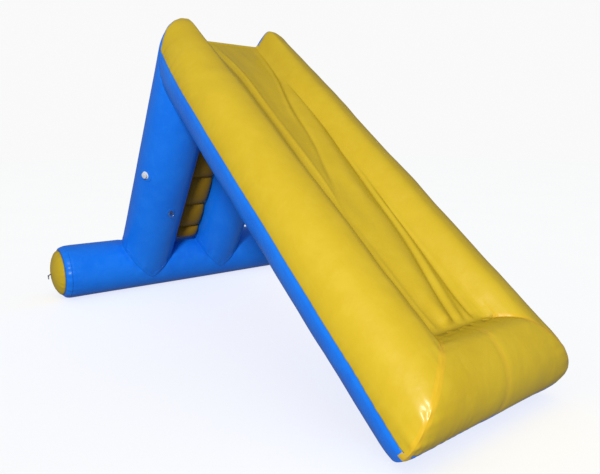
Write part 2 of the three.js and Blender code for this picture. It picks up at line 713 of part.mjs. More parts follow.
// Rings. f: n out of the surface, u the way the ring hangs.
function dRing(f, height, half, reach, r) {
  const P = [];
  const add2 = (u, v) => P.push(vec(f.at(u, v, height)));
  for (const v of [-half + 4, -half / 3, half / 3, half - 4]) add2(0, v);
  add2(2, half);
  add2(reach * 0.42, half);
  for (let n = 1; n <= 5; n++) {
    const a = (n / 6) * Math.PI;
    add2(reach * 0.42 + reach * 0.58 * Math.sin(a), half * Math.cos(a));
  }
  add2(reach * 0.42, -half);
  add2(2, -half);
  return wire(P, r, 6, true, f.N);
}
for (const [side, sx] of SIDES) {
  // on the front of the leg
  const phi0 = rad(RING_ANGLE),
    k = RING_UP - LEG_LEN,
    at = (R, phi, kk) => leg(sx * (LEG_X - R * Math.cos(phi)), -R * Math.sin(phi), kk);
  const pos = (R, dphi, kk) => at(R, phi0 + dphi, kk);
  const rings = [0, 22, PATCH_R];
  add(
    "leg_ring_patch_" + side,
    sheet(
      16,
      2,
      (i, j, w) => {
        const a = (i / 16) * 2 * Math.PI,
          R = LEG_R + GAP + (1 - w) * TAPE;
        return pos(R, (rings[j] * Math.cos(a)) / LEG_R, k + rings[j] * Math.sin(a));
      },
      { closed: true },
    ),
    "blue",
  );
  const o = vec(pos(LEG_R + GAP + TAPE, 0, k)),
    n = vec(pos(LEG_R + 100, 0, k)).sub(o);
  const f = frameAt(o, n, legUp.clone().negate());
  const loop = new THREE.Shape();
  loop.moveTo(-19, 0.5);
  loop.lineTo(19, 0.5);
  loop.lineTo(19, 2.6);
  loop.lineTo(5.5, 3.2);
  loop.absarc(0, 8, 5.4, rad(-18), rad(198), false);
  loop.lineTo(-5.5, 3.2);
  loop.lineTo(-19, 2.6);
  loop.holes.push(new THREE.Path().absarc(0, 8, 3.2, 0, 2 * Math.PI, true));
  add("leg_ring_webbing_" + side, extruded(f, loop, -13, 26, 8), "web");
  // the ring hangs straight down from its bar
  const bar0 = vec(f.at(0, 0, 8)),
    hinge = f.U.clone().cross(f.N),
    down = new THREE.Vector3(0, 0, -1).addScaledVector(hinge, hinge.z).normalize();
  add("leg_ring_" + side, dRing(frameAt(bar0, hinge.clone().cross(down), down), 0, 20, 36, 2.6), "steel");

  // on the base tube's end cap: a short webbing tab with a ring
  const capX = (r) => BASE_HALF + GAP + CAP_BULGE - (r / (0.4 * (CAP_R - GAP))) * CAP_BULGE * (1 - Math.pow(0.84, 0.62));
  const cr = [0, 20, 36];
  add(
    "cap_ring_patch_" + side,
    sheet(
      BASE_SIDES,
      2,
      (i, j, w) => baseAt(sx * (capX(cr[j]) + GAP + (1 - w) * TAPE), cr[j], baseAngle(i)),
      { closed: true },
    ),
    "blue",
  );
  const root0 = vec(baseAt(sx * (capX(0) + GAP + TAPE), 0, 0)),
    out = new THREE.Vector3(sx * Math.cos(rad(34)), 0, -Math.sin(rad(34)));
  const g = frameAt(root0.clone().addScaledVector(new THREE.Vector3(sx, 0, 0), 0.5), new THREE.Vector3(sx * Math.sin(rad(34)), 0, Math.cos(rad(34))), out);
  const tab = new THREE.Shape();
  tab.moveTo(2.6, -1.6);
  tab.lineTo(24.5, -1.6);
  tab.absarc(29, 0, 5, rad(198), rad(162) + 2 * Math.PI, false);
  tab.lineTo(2.6, 1.6);
  tab.holes.push(new THREE.Path().absarc(29, 0, 2.9, 0, 2 * Math.PI, true));
  add("cap_ring_webbing_" + side, extruded(g, tab, -12, 24, 8), "web");
  const bar = vec(g.at(29, 0, 0)),
    h = frameAt(bar, new THREE.Vector3(sx, 0, 0), new THREE.Vector3(0, 0, -1));
  add("cap_ring_" + side, dRing(h, 0, 18, 32, 2.3), "web");
}

const root = new THREE.Group();
root.name = "pool_slide";
for (const mesh of meshes) root.add(mesh);
export default root;
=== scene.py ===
import bpy, math, json
import numpy as np
from mathutils import Vector, Matrix

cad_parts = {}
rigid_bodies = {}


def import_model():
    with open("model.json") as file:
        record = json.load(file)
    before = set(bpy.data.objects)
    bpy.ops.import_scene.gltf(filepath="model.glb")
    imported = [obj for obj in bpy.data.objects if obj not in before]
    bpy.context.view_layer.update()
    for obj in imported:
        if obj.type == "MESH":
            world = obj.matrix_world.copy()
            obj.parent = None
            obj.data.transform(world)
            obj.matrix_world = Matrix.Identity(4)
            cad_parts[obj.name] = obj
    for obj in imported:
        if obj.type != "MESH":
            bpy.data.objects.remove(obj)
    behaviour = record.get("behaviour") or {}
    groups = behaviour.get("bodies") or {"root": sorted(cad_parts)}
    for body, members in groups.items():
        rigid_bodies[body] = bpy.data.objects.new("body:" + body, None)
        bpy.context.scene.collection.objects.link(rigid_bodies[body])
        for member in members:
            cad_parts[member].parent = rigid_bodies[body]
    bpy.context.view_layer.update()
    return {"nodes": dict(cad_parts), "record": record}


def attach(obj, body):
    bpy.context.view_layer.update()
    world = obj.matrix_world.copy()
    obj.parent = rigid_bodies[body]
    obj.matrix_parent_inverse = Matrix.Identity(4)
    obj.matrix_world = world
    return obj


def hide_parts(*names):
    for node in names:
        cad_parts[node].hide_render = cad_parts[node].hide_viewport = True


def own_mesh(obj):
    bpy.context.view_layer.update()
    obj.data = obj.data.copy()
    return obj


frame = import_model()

BODY = "slide"
# ------------------------------------------------------------------------------------------------ dimensions, in mm
SLOPE = math.radians(36.82)
CA, SA = math.cos(SLOPE), math.sin(SLOPE)
RAIL_R, RAIL_X = 284.0, 392.0
LEG_R, LEG_X, LEG_AT = 249.0, 387.0, 2996.0
BASE_R, BASE_Y, BASE_HALF, CAP_R, CAP_BULGE = 250.0, 3630.0, 1204.0, 212.0, 76.0
MID_Y = 1796.92
BUMPER_Z = RAIL_R * math.cos(math.radians(6))
BASE_Z = BASE_R * math.cos(math.pi / 28)
FLOOR_END = 3225.0
PAD_CUTS = [300, 455, 745, 1080, 1400, 1700, 1985]
PAD_BACK = 40.0
apex = (LEG_AT * CA, BUMPER_Z + LEG_AT * SA)
LEG_LEN = math.hypot(apex[0] - BASE_Y, apex[1] - BASE_Z)
LY, LZ = (apex[0] - BASE_Y) / LEG_LEN, (apex[1] - BASE_Z) / LEG_LEN
LS, LN = LY * CA + LZ * SA, -LY * SA + LZ * CA


def bed(x, t, h):
    """Bed coordinates (across, up the rail axis, square to the bed) to row-frame points."""
    x, t, h = np.broadcast_arrays(*[np.asarray(a, float) for a in (x, t, h)])
    return np.stack([x, t * CA - h * SA - MID_Y, BUMPER_Z + t * SA + h * CA], -1)


def leg(x, q, k):
    """Leg coordinates (across, towards the rear, up the leg from where it meets the rail axis)."""
    x, q, k = np.broadcast_arrays(*[np.asarray(a, float) for a in (x, q, k)])
    return bed(x, LEG_AT + q * LN + k * LS, -q * LS + k * LN)


def smooth(u):
    u = np.clip(u, 0, 1)
    return u * u * (3 - 2 * u)


def out_half(t):
    return RAIL_R - 40 * np.clip((t - 2300) / 696, 0, 1) ** 2


def crest_h(t):
    return RAIL_R - 24 * np.clip((t - 3110) / 140, 0, 1.3) ** 2


def crease_d(t):
    return -155 + 75 * smooth((t - 2450) / 850)


def crease_h(t):
    return 162 - 56 * smooth((t - 2450) / 850)


def seam_angle(t):
    return np.radians(2 + 12 * np.clip(t, 0, None) / 3240 + 7 * np.clip(t, -1000, 0) / 1000)


def inner_curve(u, dc, hc, H):
    a, b, c, e = (1 - u) ** 3, 3 * u * (1 - u) ** 2, 3 * u * u * (1 - u), u ** 3
    return b * 0.40 * dc + c * 0.68 * dc + e * dc, a * H + b * H + c * (hc + 0.516 * (H - hc)) + e * hc


def section_top(u, t):
    """Section of the yellow top skin: u 0 at the outer seam, 0.5 at the crest, 1 at the crease with the floor."""
    s0 = seam_angle(t)
    th = s0 + (math.pi / 2 - s0) * np.clip(u * 2, 0, 1)
    d1, h1 = out_half(t) * np.cos(th), crest_h(t) * np.sin(th)
    w = np.clip(u * 2 - 1, 0, 1)
    d2, h2 = inner_curve(w, crease_d(t), crease_h(t), crest_h(t))
    k = u <= 0.5
    return np.where(k, d1, d2), np.where(k, h1, h2)


def section_low(u, t):
    """Section of the blue lower skin: u 0 at the outer seam, 0.62 underneath, 1 at the lower crease."""
    s0 = seam_angle(t)
    th = s0 - (math.pi / 2 + s0) * np.clip(u / 0.62, 0, 1)
    d1, h1 = out_half(t) * np.cos(th), RAIL_R * np.sin(th)
    w = np.clip((u - 0.62) / 0.38, 0, 1)
    d2, h2 = inner_curve(w, -155.0, 162.0, RAIL_R)
    k = u <= 0.62
    return np.where(k, d1, d2), np.where(k, h1, -h2)


def at_elbow(section, u, side):
    t = np.full(np.shape(u), LEG_AT + side * 120.0)
    for _ in range(80):
        d, h = section(u, t)
        x = RAIL_X + d - LEG_X
        want = LEG_AT + (h * LS + side * np.sqrt(np.maximum(0, LEG_R ** 2 - x * x))) / LN
        t = 0.5 * (t + want)
    return t


# ------------------------------------------------------------------------------------------------ smooth noise, seeded
class Waves:
    """A sum of sine waves with fixed random directions: smooth, repeatable noise over two parameters in mm."""

    def __init__(self, seed, lo, hi, n=18, along=None):
        r = np.random.default_rng(seed)
        lam = np.exp(r.uniform(math.log(lo), math.log(hi), n))
        ang = r.uniform(0, 2 * math.pi, n) if along is None else along + r.normal(0, 0.35, n)
        self.k = 2 * math.pi / lam
        self.c, self.s = np.cos(ang), np.sin(ang)
        self.p = r.uniform(0, 2 * math.pi, n)
        self.a = (lam / hi) ** 0.8
        self.a /= math.sqrt((self.a ** 2).sum() / 2)

    def __call__(self, a, b):
        out = 0.0
        for k, c, s, p, w in zip(self.k, self.c, self.s, self.p, self.a):
            out = out + w * np.sin(k * (c * a + s * b) + p)
        return out


# ------------------------------------------------------------------------------------------------ materials
def rgb(r, g, b):
    f = lambda c: c / 12.92 if c <= 0.04045 else ((c + 0.055) / 1.055) ** 2.4
    return (f(r / 255), f(g / 255), f(b / 255), 1.0)


class Nodes:
    def __init__(self, name):
        self.mat = bpy.data.materials.new(name)
        self.mat.use_nodes = True
        self.nt = self.mat.node_tree
        self.bsdf = self.nt.nodes["Principled BSDF"]
        self.x = -300

    def add(self, kind, **props):
        n = self.nt.nodes.new(kind)
        self.x -= 40
        n.location = (self.x, 0)
        for k, v in props.items():
            setattr(n, k, v)
        return n

    def link(self, a, b):
        self.nt.links.new(a, b)

    def noise(self, scale, detail=3, rough=0.5, coord=None, dist=0.0):
        n = self.add("ShaderNodeTexNoise")
        n.inputs["Scale"].default_value = scale
        n.inputs["Detail"].default_value = detail
        n.inputs["Roughness"].default_value = rough
        n.inputs["Distortion"].default_value = dist
        if coord is not None:
            self.link(coord, n.inputs["Vector"])
        return n.outputs["Fac"]

    def ramp(self, src, stops):
        n = self.add("ShaderNodeValToRGB")
        e = n.color_ramp.elements
        while len(e) < len(stops):
            e.new(0.5)
        for el, (p, c) in zip(e, stops):
            el.position = p
            el.color = c if len(c) == 4 else (*c, 1)
        self.link(src, n.inputs["Fac"])
        return n.outputs["Color"]

    def remap(self, src, a, b, c, d):
        n = self.add("ShaderNodeMapRange")
        for k, v in zip(("From Min", "From Max", "To Min", "To Max"), (a, b, c, d)):
            n.inputs[k].default_value = v
        self.link(src, n.inputs["Value"])
        return n.outputs["Result"]

    def math(self, op, a, b=None):
        n = self.add("ShaderNodeMath", operation=op)
        for i, v in enumerate((a, b)):
            if v is None:
                continue
            if isinstance(v, (int, float)):
                n.inputs[i].default_value = v
            else:
                self.link(v, n.inputs[i])
        return n.outputs[0]

    def mix(self, fac, a, b, mode="MIX"):
        n = self.add("ShaderNodeMix", data_type="RGBA", blend_type=mode)
        for key, v in (("Factor", fac), ("A", a), ("B", b)):
            sock = [s for s in n.inputs if s.name == key and s.enabled][0]
            if isinstance(v, (int, float)):
                sock.default_value = v
            elif isinstance(v, tuple):
                sock.default_value = v
            else:
                self.link(v, sock)
        return [s for s in n.outputs if s.enabled][0]

    def bump(self, height, strength, distance, normal=None):
        n = self.add("ShaderNodeBump")
        n.inputs["Strength"].default_value = strength
        n.inputs["Distance"].default_value = distance
        self.link(height, n.inputs["Height"])
        if normal is not None:
            self.link(normal, n.inputs["Normal"])
        return n.outputs["Normal"]


def pvc(name, base, light, dark, rough=0.36, spec=0.5, weave=1.0, tint=None, coat=0.0):
    """Coated fabric: glossy coating over a woven scrim, slightly uneven in colour and gloss, duller and darker where
    its per-point attribute is high, which paints shade into creases and joints and marks grime on some tapes.
    """
    m = Nodes(name)
    uv = m.add("ShaderNodeUVMap", uv_map="UVMap").outputs["UV"]
    pos = m.add("ShaderNodeTexCoord").outputs["Object"]
    big = m.noise(1.6, 3, 0.55, pos)
    mid = m.noise(9.0, 4, 0.6, pos, 0.4)
    col = m.mix(m.remap(big, 0.32, 0.68, 0.0, 1.0), dark, base)
    col = m.mix(m.remap(mid, 0.45, 0.8, 0.0, 0.45), col, light)
    # a film of dried splashes and scuffs
    specks = m.noise(70.0, 5, 0.7, pos, 0.2)
    col = m.mix(m.remap(specks, 0.62, 0.78, 0.0, 0.16), col, light)
    # the per-point attribute darkens the colour towards a deeper tint and dulls the gloss: painted shade in creases,
    # joints, fold valleys and near the ground on most pieces, plain grime on some tapes and patches
    att = m.add("ShaderNodeAttribute", attribute_name="grime_and_painted_shade").outputs["Fac"]
    col = m.mix(m.math("MULTIPLY", att, m.remap(mid, 0.2, 0.7, 0.45, 1.0)), col, tint or tuple(c * 0.62 for c in dark[:3]) + (1.0,))
    m.link(col, m.bsdf.inputs["Base Color"])
    r = m.math("ADD", m.remap(mid, 0.3, 0.7, rough - 0.05, rough + 0.07), m.remap(specks, 0.5, 0.8, 0.0, 0.1))
    r = m.math("ADD", r, m.math("MULTIPLY", att, 0.15))
    m.link(r, m.bsdf.inputs["Roughness"])
    m.bsdf.inputs["Specular IOR Level"].default_value = spec
    if coat:
        m.bsdf.inputs["Coat Weight"].default_value = coat
        m.bsdf.inputs["Coat Roughness"].default_value = 0.16
    # scrim showing through the coating, and the slack waviness of a welded sheet
    sep = m.add("ShaderNodeSeparateXYZ")
    m.link(uv, sep.inputs[0])
    w1 = m.math("SINE", m.math("MULTIPLY", sep.outputs["X"], 2 * math.pi / 0.0026))
    w2 = m.math("SINE", m.math("MULTIPLY", sep.outputs["Y"], 2 * math.pi / 0.0026))
    weave_h = m.math("MULTIPLY", w1, w2)
    n = m.bump(weave_h, 0.16 * weave, 0.00025)
    n = m.bump(m.noise(26.0, 3, 0.55, pos), 0.22, 0.004, n)
    n = m.bump(m.noise(7.5, 2, 0.5, pos, 0.6), 0.25, 0.012, n)
    m.link(n, m.bsdf.inputs["Normal"])
    return m.mat


Y_BASE, Y_LIGHT, Y_DARK = rgb(192, 165, 38), rgb(197, 171, 47), rgb(186, 158, 33)
B_BASE, B_LIGHT, B_DARK = rgb(20, 118, 233), rgb(34, 128, 238), rgb(13, 108, 226)
M_YELLOW = pvc("yellow_coated_fabric", Y_BASE, Y_LIGHT, Y_DARK, 0.42, 0.22, coat=0.10)
# the climbing pad's yellow is a darker, more orange copy of the rail yellow: painted shade, for a pad that sits in the
# slide's shadow
M_PAD_PAINTED_SHADE = pvc("pad_coated_fabric_painted_shade", rgb(146, 112, 18), rgb(152, 118, 24), rgb(140, 106, 14), 0.5, 0.18, coat=0.04)
M_YELLOW_TAPE = pvc("yellow_weld_tape", rgb(197, 166, 39), rgb(201, 172, 47), rgb(191, 160, 34), 0.36, 0.25, 0.4, coat=0.12)
M_ORANGE_TAPE = pvc("yellow_mitre_tape", rgb(200, 164, 37), rgb(204, 170, 45), rgb(195, 159, 33), 0.36, 0.25, 0.4, coat=0.12)
M_BLUE = pvc("blue_coated_fabric", B_BASE, B_LIGHT, B_DARK, 0.36, 0.22, coat=0.12)
M_BLUE_TAPE = pvc("blue_weld_tape", rgb(18, 121, 235), rgb(30, 130, 240), rgb(12, 111, 228), 0.32, 0.25, 0.4, coat=0.14)
M_INNER = pvc("inner_web_fabric", rgb(206, 208, 204), rgb(222, 224, 220), rgb(188, 190, 186), 0.6, 0.3)


def plastic(name, base, rough=0.42, var=0.12, grain=140.0):
    m = Nodes(name)
    pos = m.add("ShaderNodeTexCoord").outputs["Object"]
    n1 = m.noise(22.0, 4, 0.6, pos)
    n2 = m.noise(grain * 6, 3, 0.6, pos)
    dark = tuple(c * (1 - var) for c in base[:3]) + (1.0,)
    light = tuple(min(1, c * (1 + var)) for c in base[:3]) + (1.0,)
    col = m.mix(m.remap(n1, 0.35, 0.65, 0, 1), dark, light)
    m.link(col, m.bsdf.inputs["Base Color"])
    m.link(m.remap(n1, 0.3, 0.7, rough - 0.06, rough + 0.08), m.bsdf.inputs["Roughness"])
    m.link(m.bump(n2, 0.15, 0.0003), m.bsdf.inputs["Normal"])
    return m.mat


def steel(name):
    m = Nodes(name)
    pos = m.add("ShaderNodeTexCoord").outputs["Object"]
    n1 = m.noise(160.0, 4, 0.6, pos)
    m.link(m.mix(m.remap(n1, 0.3, 0.7, 0, 1), rgb(176, 180, 184), rgb(208, 211, 214)), m.bsdf.inputs["Base Color"])
    m.bsdf.inputs["Metallic"].default_value = 1.0
    m.link(m.remap(n1, 0.3, 0.7, 0.16, 0.34), m.bsdf.inputs["Roughness"])
    m.link(m.bump(n1, 0.12, 0.0004), m.bsdf.inputs["Normal"])
    return m.mat


def webbing(name, base):
    m = Nodes(name)
    pos = m.add("ShaderNodeTexCoord").outputs["Object"]
    sep = m.add("ShaderNodeSeparateXYZ")
    m.link(pos, sep.inputs[0])
    a = m.math("SINE", m.math("MULTIPLY", sep.outputs["X"], 2 * math.pi / 0.0022))
    b = m.math("SINE", m.math("MULTIPLY", m.math("ADD", sep.outputs["Z"], sep.outputs["Y"]), 2 * math.pi / 0.0022))
    h = m.math("MULTIPLY", a, b)
    light = tuple(min(1, c * 1.9 + 0.004) for c in base[:3]) + (1.0,)
    m.link(m.mix(m.remap(h, -1, 1, 0, 1), base, light), m.bsdf.inputs["Base Color"])
    m.link(m.remap(m.noise(180, 2, 0.5, pos), 0.3, 0.7, 0.7, 0.86), m.bsdf.inputs["Roughness"])
    m.bsdf.inputs["Sheen Weight"].default_value = 0.3
    m.link(m.bump(h, 0.6, 0.0006), m.bsdf.inputs["Normal"])
    return m.mat


M_WHITE = plastic("valve_grey_plastic", rgb(205, 210, 214))
M_DARK = plastic("ring_dark_plastic", rgb(24, 34, 66), 0.38)
M_RUBBER = plastic("seal_rubber", rgb(34, 34, 36), 0.75, 0.2)
M_STEEL = steel("stainless_steel")
M_NAVY = webbing("navy_webbing", rgb(22, 34, 74))

MATERIAL_OF_SLOT = {
    "yellow_pvc": M_YELLOW, "blue_pvc": M_BLUE, "inner_fabric": M_INNER, "navy_webbing": M_NAVY, "dark_plastic": M_DARK,
    "valve_plastic": M_WHITE, "stainless_steel": M_STEEL, "seal_rubber": M_RUBBER,
}
SLOT_OF_NODE = {s["node"]: s["material_slot"] for s in frame["record"]["subparts"]}
for name, obj in frame["nodes"].items():
    if obj.type != "MESH":
        continue
    mat = MATERIAL_OF_SLOT[SLOT_OF_NODE[name]]
    if name.startswith(("mitre_tape", "corner_patch", "bumper_middle_tape")):
        mat = M_YELLOW_TAPE
    obj.data.materials.clear()
    obj.data.materials.append(mat)


# ------------------------------------------------------------------------------------------------ sheets
def sheet(name, P, mat, nodes=(), closed=False, wall=0.003, centre=None, grime_and_painted_shade=None, scale_uv=(1.0, 1.0), ground=True, thicken=-1.0):
    """A grid of points, in mm, as a smooth sheet of fabric, given a thickness by a Solidify modifier unless wall is 0.
    centre: points that its inner side faces.
    """
    P = np.array(P, float)
    if ground:
        low = 3.0
        z = P[..., 2]
        P[..., 2] = np.where(z < low, low * np.exp(np.minimum(0, (z - low) / (low * 1.6))), z)
        P[..., 2] = np.maximum(P[..., 2], 0.05)
    nu, nv = P.shape[:2]
    co = (P * 0.001).reshape(-1, 3)
    iu = np.arange(nu if closed else nu - 1)
    jv = np.arange(nv - 1)
    I, J = np.meshgrid(iu, jv, indexing="ij")
    I2 = (I + 1) % nu
    q = np.stack([I * nv + J, I2 * nv + J, I2 * nv + J + 1, I * nv + J + 1], -1).reshape(-1, 4)
    if centre is not None:
        C = np.broadcast_to(np.array(centre, float), P.shape).reshape(-1, 3) * 0.001
        a, b, c, d = (co[q[:, k]] for k in range(4))
        n = np.cross(c - a, d - b)
        mid = (a + b + c + d) / 4
        cm = C[q].mean(1)
        if (n * (mid - cm)).sum() < 0:
            q = q[:, ::-1]
    me = bpy.data.meshes.new(name)
    me.from_pydata(co.tolist(), [], q.tolist())
    # arc-length coordinates in metres
    grid = co.reshape(nu, nv, 3)
    ring = np.concatenate([grid, grid[:1]], 0) if closed else grid
    du = np.linalg.norm(np.diff(ring, axis=0), axis=-1).mean(1)
    dv = np.linalg.norm(np.diff(grid, axis=1), axis=-1).mean(0)
    U = np.concatenate([[0], np.cumsum(du)])
    V = np.concatenate([[0], np.cumsum(dv)])
    layer = me.uv_layers.new(name="UVMap")
    idx = np.zeros(len(me.loops), np.int32)
    me.loops.foreach_get("vertex_index", idx)
    ui, vi = idx // nv, idx % nv
    if closed:
        quad = ui.reshape(-1, 4)
        wraps = (quad.max(1) == nu - 1) & (quad.min(1) == 0)
        quad[wraps] = np.where(quad[wraps] == 0, nu, quad[wraps])
        ui = quad.reshape(-1)
    layer.data.foreach_set("uv", np.stack([U[ui], V[vi]], -1).astype(np.float32).ravel())
    # per-point attribute for the material: painted shade in creases and joints on most pieces, grime on some tapes
    att = me.attributes.new("grime_and_painted_shade", "FLOAT", "POINT")
    att.data.foreach_set("value", (np.zeros(nu * nv) if grime_and_painted_shade is None else np.clip(np.broadcast_to(grime_and_painted_shade, (nu, nv)), 0, 1).reshape(-1)).astype(np.float32))
    me.polygons.foreach_set("use_smooth", np.ones(len(me.polygons), bool))
    me.materials.append(mat)
    me.update()
    ob = bpy.data.objects.new(name, me)
    bpy.context.scene.collection.objects.link(ob)
    if wall:
        sol = ob.modifiers.new("wall", "SOLIDIFY")
        sol.thickness = wall
        sol.offset = thicken
        sol.use_even_offset = False
    finish_piece(ob, nodes)
    return ob


def finish_piece(ob, nodes, body=BODY):
    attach(ob, body)
    if nodes:
        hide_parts(*nodes)


def normals(P, closed=False):
    if closed:
        Pe = np.concatenate([P[-1:], P, P[:1]], 0)
        du = (Pe[2:] - Pe[:-2])
    else:
        du = np.gradient(P, axis=0)
    dv = np.gradient(P, axis=1)
    n = np.cross(du, dv)
    L = np.linalg.norm(n, axis=-1, keepdims=True)
    return n / np.maximum(L, 1e-9)


def outward(n, P, C):
    s = np.sign((n * (P - C)).sum(-1, keepdims=True).sum((0, 1)))
    return n * s


def spread(a, b, n, power=1.0):
    """n stations from a to b, evenly spaced at power 1 and closer together towards a at higher powers."""
    u = np.linspace(0, 1, n)
    return a + (b - a) * (u + 0.0 * smooth(u)) ** power


def ends_dense(n, k=0.6):
    u = np.linspace(0, 1, n)
    return (1 - k) * u + k * smooth(u)


# Puckers: short ripples square to a weld, dying away from it.
def pucker(along, dist, amp, lam, reach, seed):
    w = Waves(seed, lam * 0.7, lam * 1.6, 7, along=0.0)
    env = 0.55 + 0.45 * np.sin(along / (lam * 5.3) + seed) * np.sin(along / (lam * 8.1) + 2 * seed)
    return amp * env * w(along, dist * 0.3) * np.exp(-((dist / reach) ** 1.2)) * 0.6


body_wave = Waves(3, 420, 1400, 14)
fine_wave = Waves(5, 120, 300, 16)
CORNER, ELBOW = 15.0, 16.0


def mitre_t(section, u):
    t0 = np.zeros(np.shape(u))
    for _ in range(40):
        t0 = -section(u, t0)[0]
    return t0


def skin_frame(section, u, t, sx, bumper=False):
    """Point, outward normal and angle of the bare surface. On the bumper the section is turned to face forward and t is x."""
    e = 1e-3
    if bumper:
        t0 = mitre_t(section, u)
        ts = t0 + (-1000 - t0) * smooth((RAIL_X - t0 - t) / 220) * np.clip(1 - u * 2.2, 0, 1)
        ts = np.where(u * 2.2 < 1, ts, t0)
    else:
        ts = t
    d, h = section(u, ts)
    da, ha = section(np.clip(u - e, 0, 1), ts)
    db, hb = section(np.clip(u + e, 0, 1), ts)
    nd, nh = hb - ha, -(db - da)
    L = np.hypot(nd, nh)
    nd, nh = nd / L, nh / L
    s = np.sign(nd * d + nh * h)
    nd, nh = nd * s, nh * s
    if bumper:
        P = bed(sx * t, -d, h)
        N = np.stack([0 * nd, -nd * CA - nh * SA, -nd * SA + nh * CA], -1)
    else:
        P = bed(sx * (RAIL_X + d), t, h)
        N = np.stack([sx * nd, -nh * SA, nh * CA], -1)
    return P, N, np.arctan2(h, d)


def unit(v):
    return v / np.maximum(np.linalg.norm(v, axis=-1, keepdims=True), 1e-9)


def leg_radial(sx, x, q):
    return unit(leg(sx * x, q, 0 * x) - leg(sx * LEG_X, 0 * x, 0 * x))


def rail_skin(section, sx, seed, u, t, lift=0.0):
    """The inflated rail: u across the section, t up the rail."""
    u, t = np.broadcast_arrays(np.asarray(u, float), np.asarray(t, float))
    P, N, ang = skin_frame(section, u, t, sx)
    top = section is section_top
    t0 = mitre_t(section, u)
    if top:
        t1 = at_elbow(section, u, 1.0)
    else:
        hh = section_low(u, np.full(u.shape, LEG_AT))[1]
        t1 = np.where(hh > 0, at_elbow(section, u, 1.0), at_elbow(section, u, -1.0))
    fm, fe = np.maximum(t - t0, 0), np.maximum(t1 - t, 0)
    fs = u * (640 if top else 760)
    arc = ang * RAIL_R
    disp = 1.8 * body_wave(arc + 900 * sx, t) + 0.45 * fine_wave(arc, t + 500 * sx)
    disp = disp + pucker(t, fs, 2.2, 62, 52, seed) - 1.6 * np.exp(-((fs / 24) ** 2))
    if top:
        fc = (1 - u) * 560
        disp = (disp + pucker(t, fc, 1.6, 120, 110, seed + 1)) * smooth(fc / 60)
    disp = disp + pucker(arc, fm, 3.6, 70, 90, seed + 2) + pucker(arc, fe, 3.6, 60, 66, seed + 3)
    disp = disp * smooth(fm / 16) * smooth(fe / 16)
    P = P + N * disp[..., None]
    # the corner with the bumper, drawn in
    P0, N0, a0 = skin_frame(section, u, t0, sx)
    Nb = skin_frame(section, u, t0, sx, bumper=True)[1]
    P = P - unit(N0 + Nb) * (CORNER * np.clip(np.cos(a0), 0, 1) * np.clip(1 - fm / 100, 0, 1) ** 2)[..., None]
    # the elbow with the leg
    P1, N1, a1 = skin_frame(section, u, t1, sx)
    if top:
        x = RAIL_X + section(u, t1)[0]
        q = np.sqrt(np.maximum(0, LEG_R ** 2 - (x - LEG_X) ** 2))
        Nl = leg_radial(sx, x, q)
        P = P - unit(N1 + Nl) * (ELBOW * elbow_gain(q) * np.clip(1 - fe / 66, 0, 1) ** 2)[..., None]
    return P + N * np.asarray(lift)[..., None] if np.ndim(lift) else P + N * lift


def elbow_gain(q):
    return smooth(q / 150)


def bumper_skin(section, sx, seed, u, x, lift=0.0):
    u, x = np.broadcast_arrays(np.asarray(u, float), np.asarray(x, float))
    P, N, ang = skin_frame(section, u, x, sx, bumper=True)
    top = section is section_top
    xe = RAIL_X - mitre_t(section, u)
    fm, mid = np.maximum(xe - x, 0), x
    arc = ang * RAIL_R
    fs = u * (640 if top else 760)
    disp = 1.6 * body_wave(sx * x + 300, arc) + 0.45 * fine_wave(sx * x, arc)
    disp = disp + pucker(sx * x, fs, 2.2, 62, 52, 29) - 1.6 * np.exp(-((fs / 24) ** 2))
    if top:
        fc = (1 - u) * 560
        disp = (disp + pucker(x * sx, fc, 4.6, 85, 110, 31)) * smooth(fc / 26)
        disp = disp + pucker(arc, mid, 2.0, 60, 55, 33) * smooth(mid / 24) - 2.2 * np.exp(-((mid / 30) ** 2))
    disp = disp + pucker(arc, fm, 3.6, 70, 90, seed + 2)
    disp = disp * smooth(fm / 16)
    P = P + N * disp[..., None]
    t0 = mitre_t(section, u)
    Nr = skin_frame(section, u, t0, sx)[1]
    Nb = skin_frame(section, u, t0, sx, bumper=True)[1]
    P = P - unit(Nr + Nb) * (CORNER * np.clip(np.cos(ang), 0, 1) * np.clip(1 - fm / 100, 0, 1) ** 2)[..., None]
    return P + N * lift


def axis_line(sx, t):
    return bed(sx * RAIL_X, t, 0 * t)


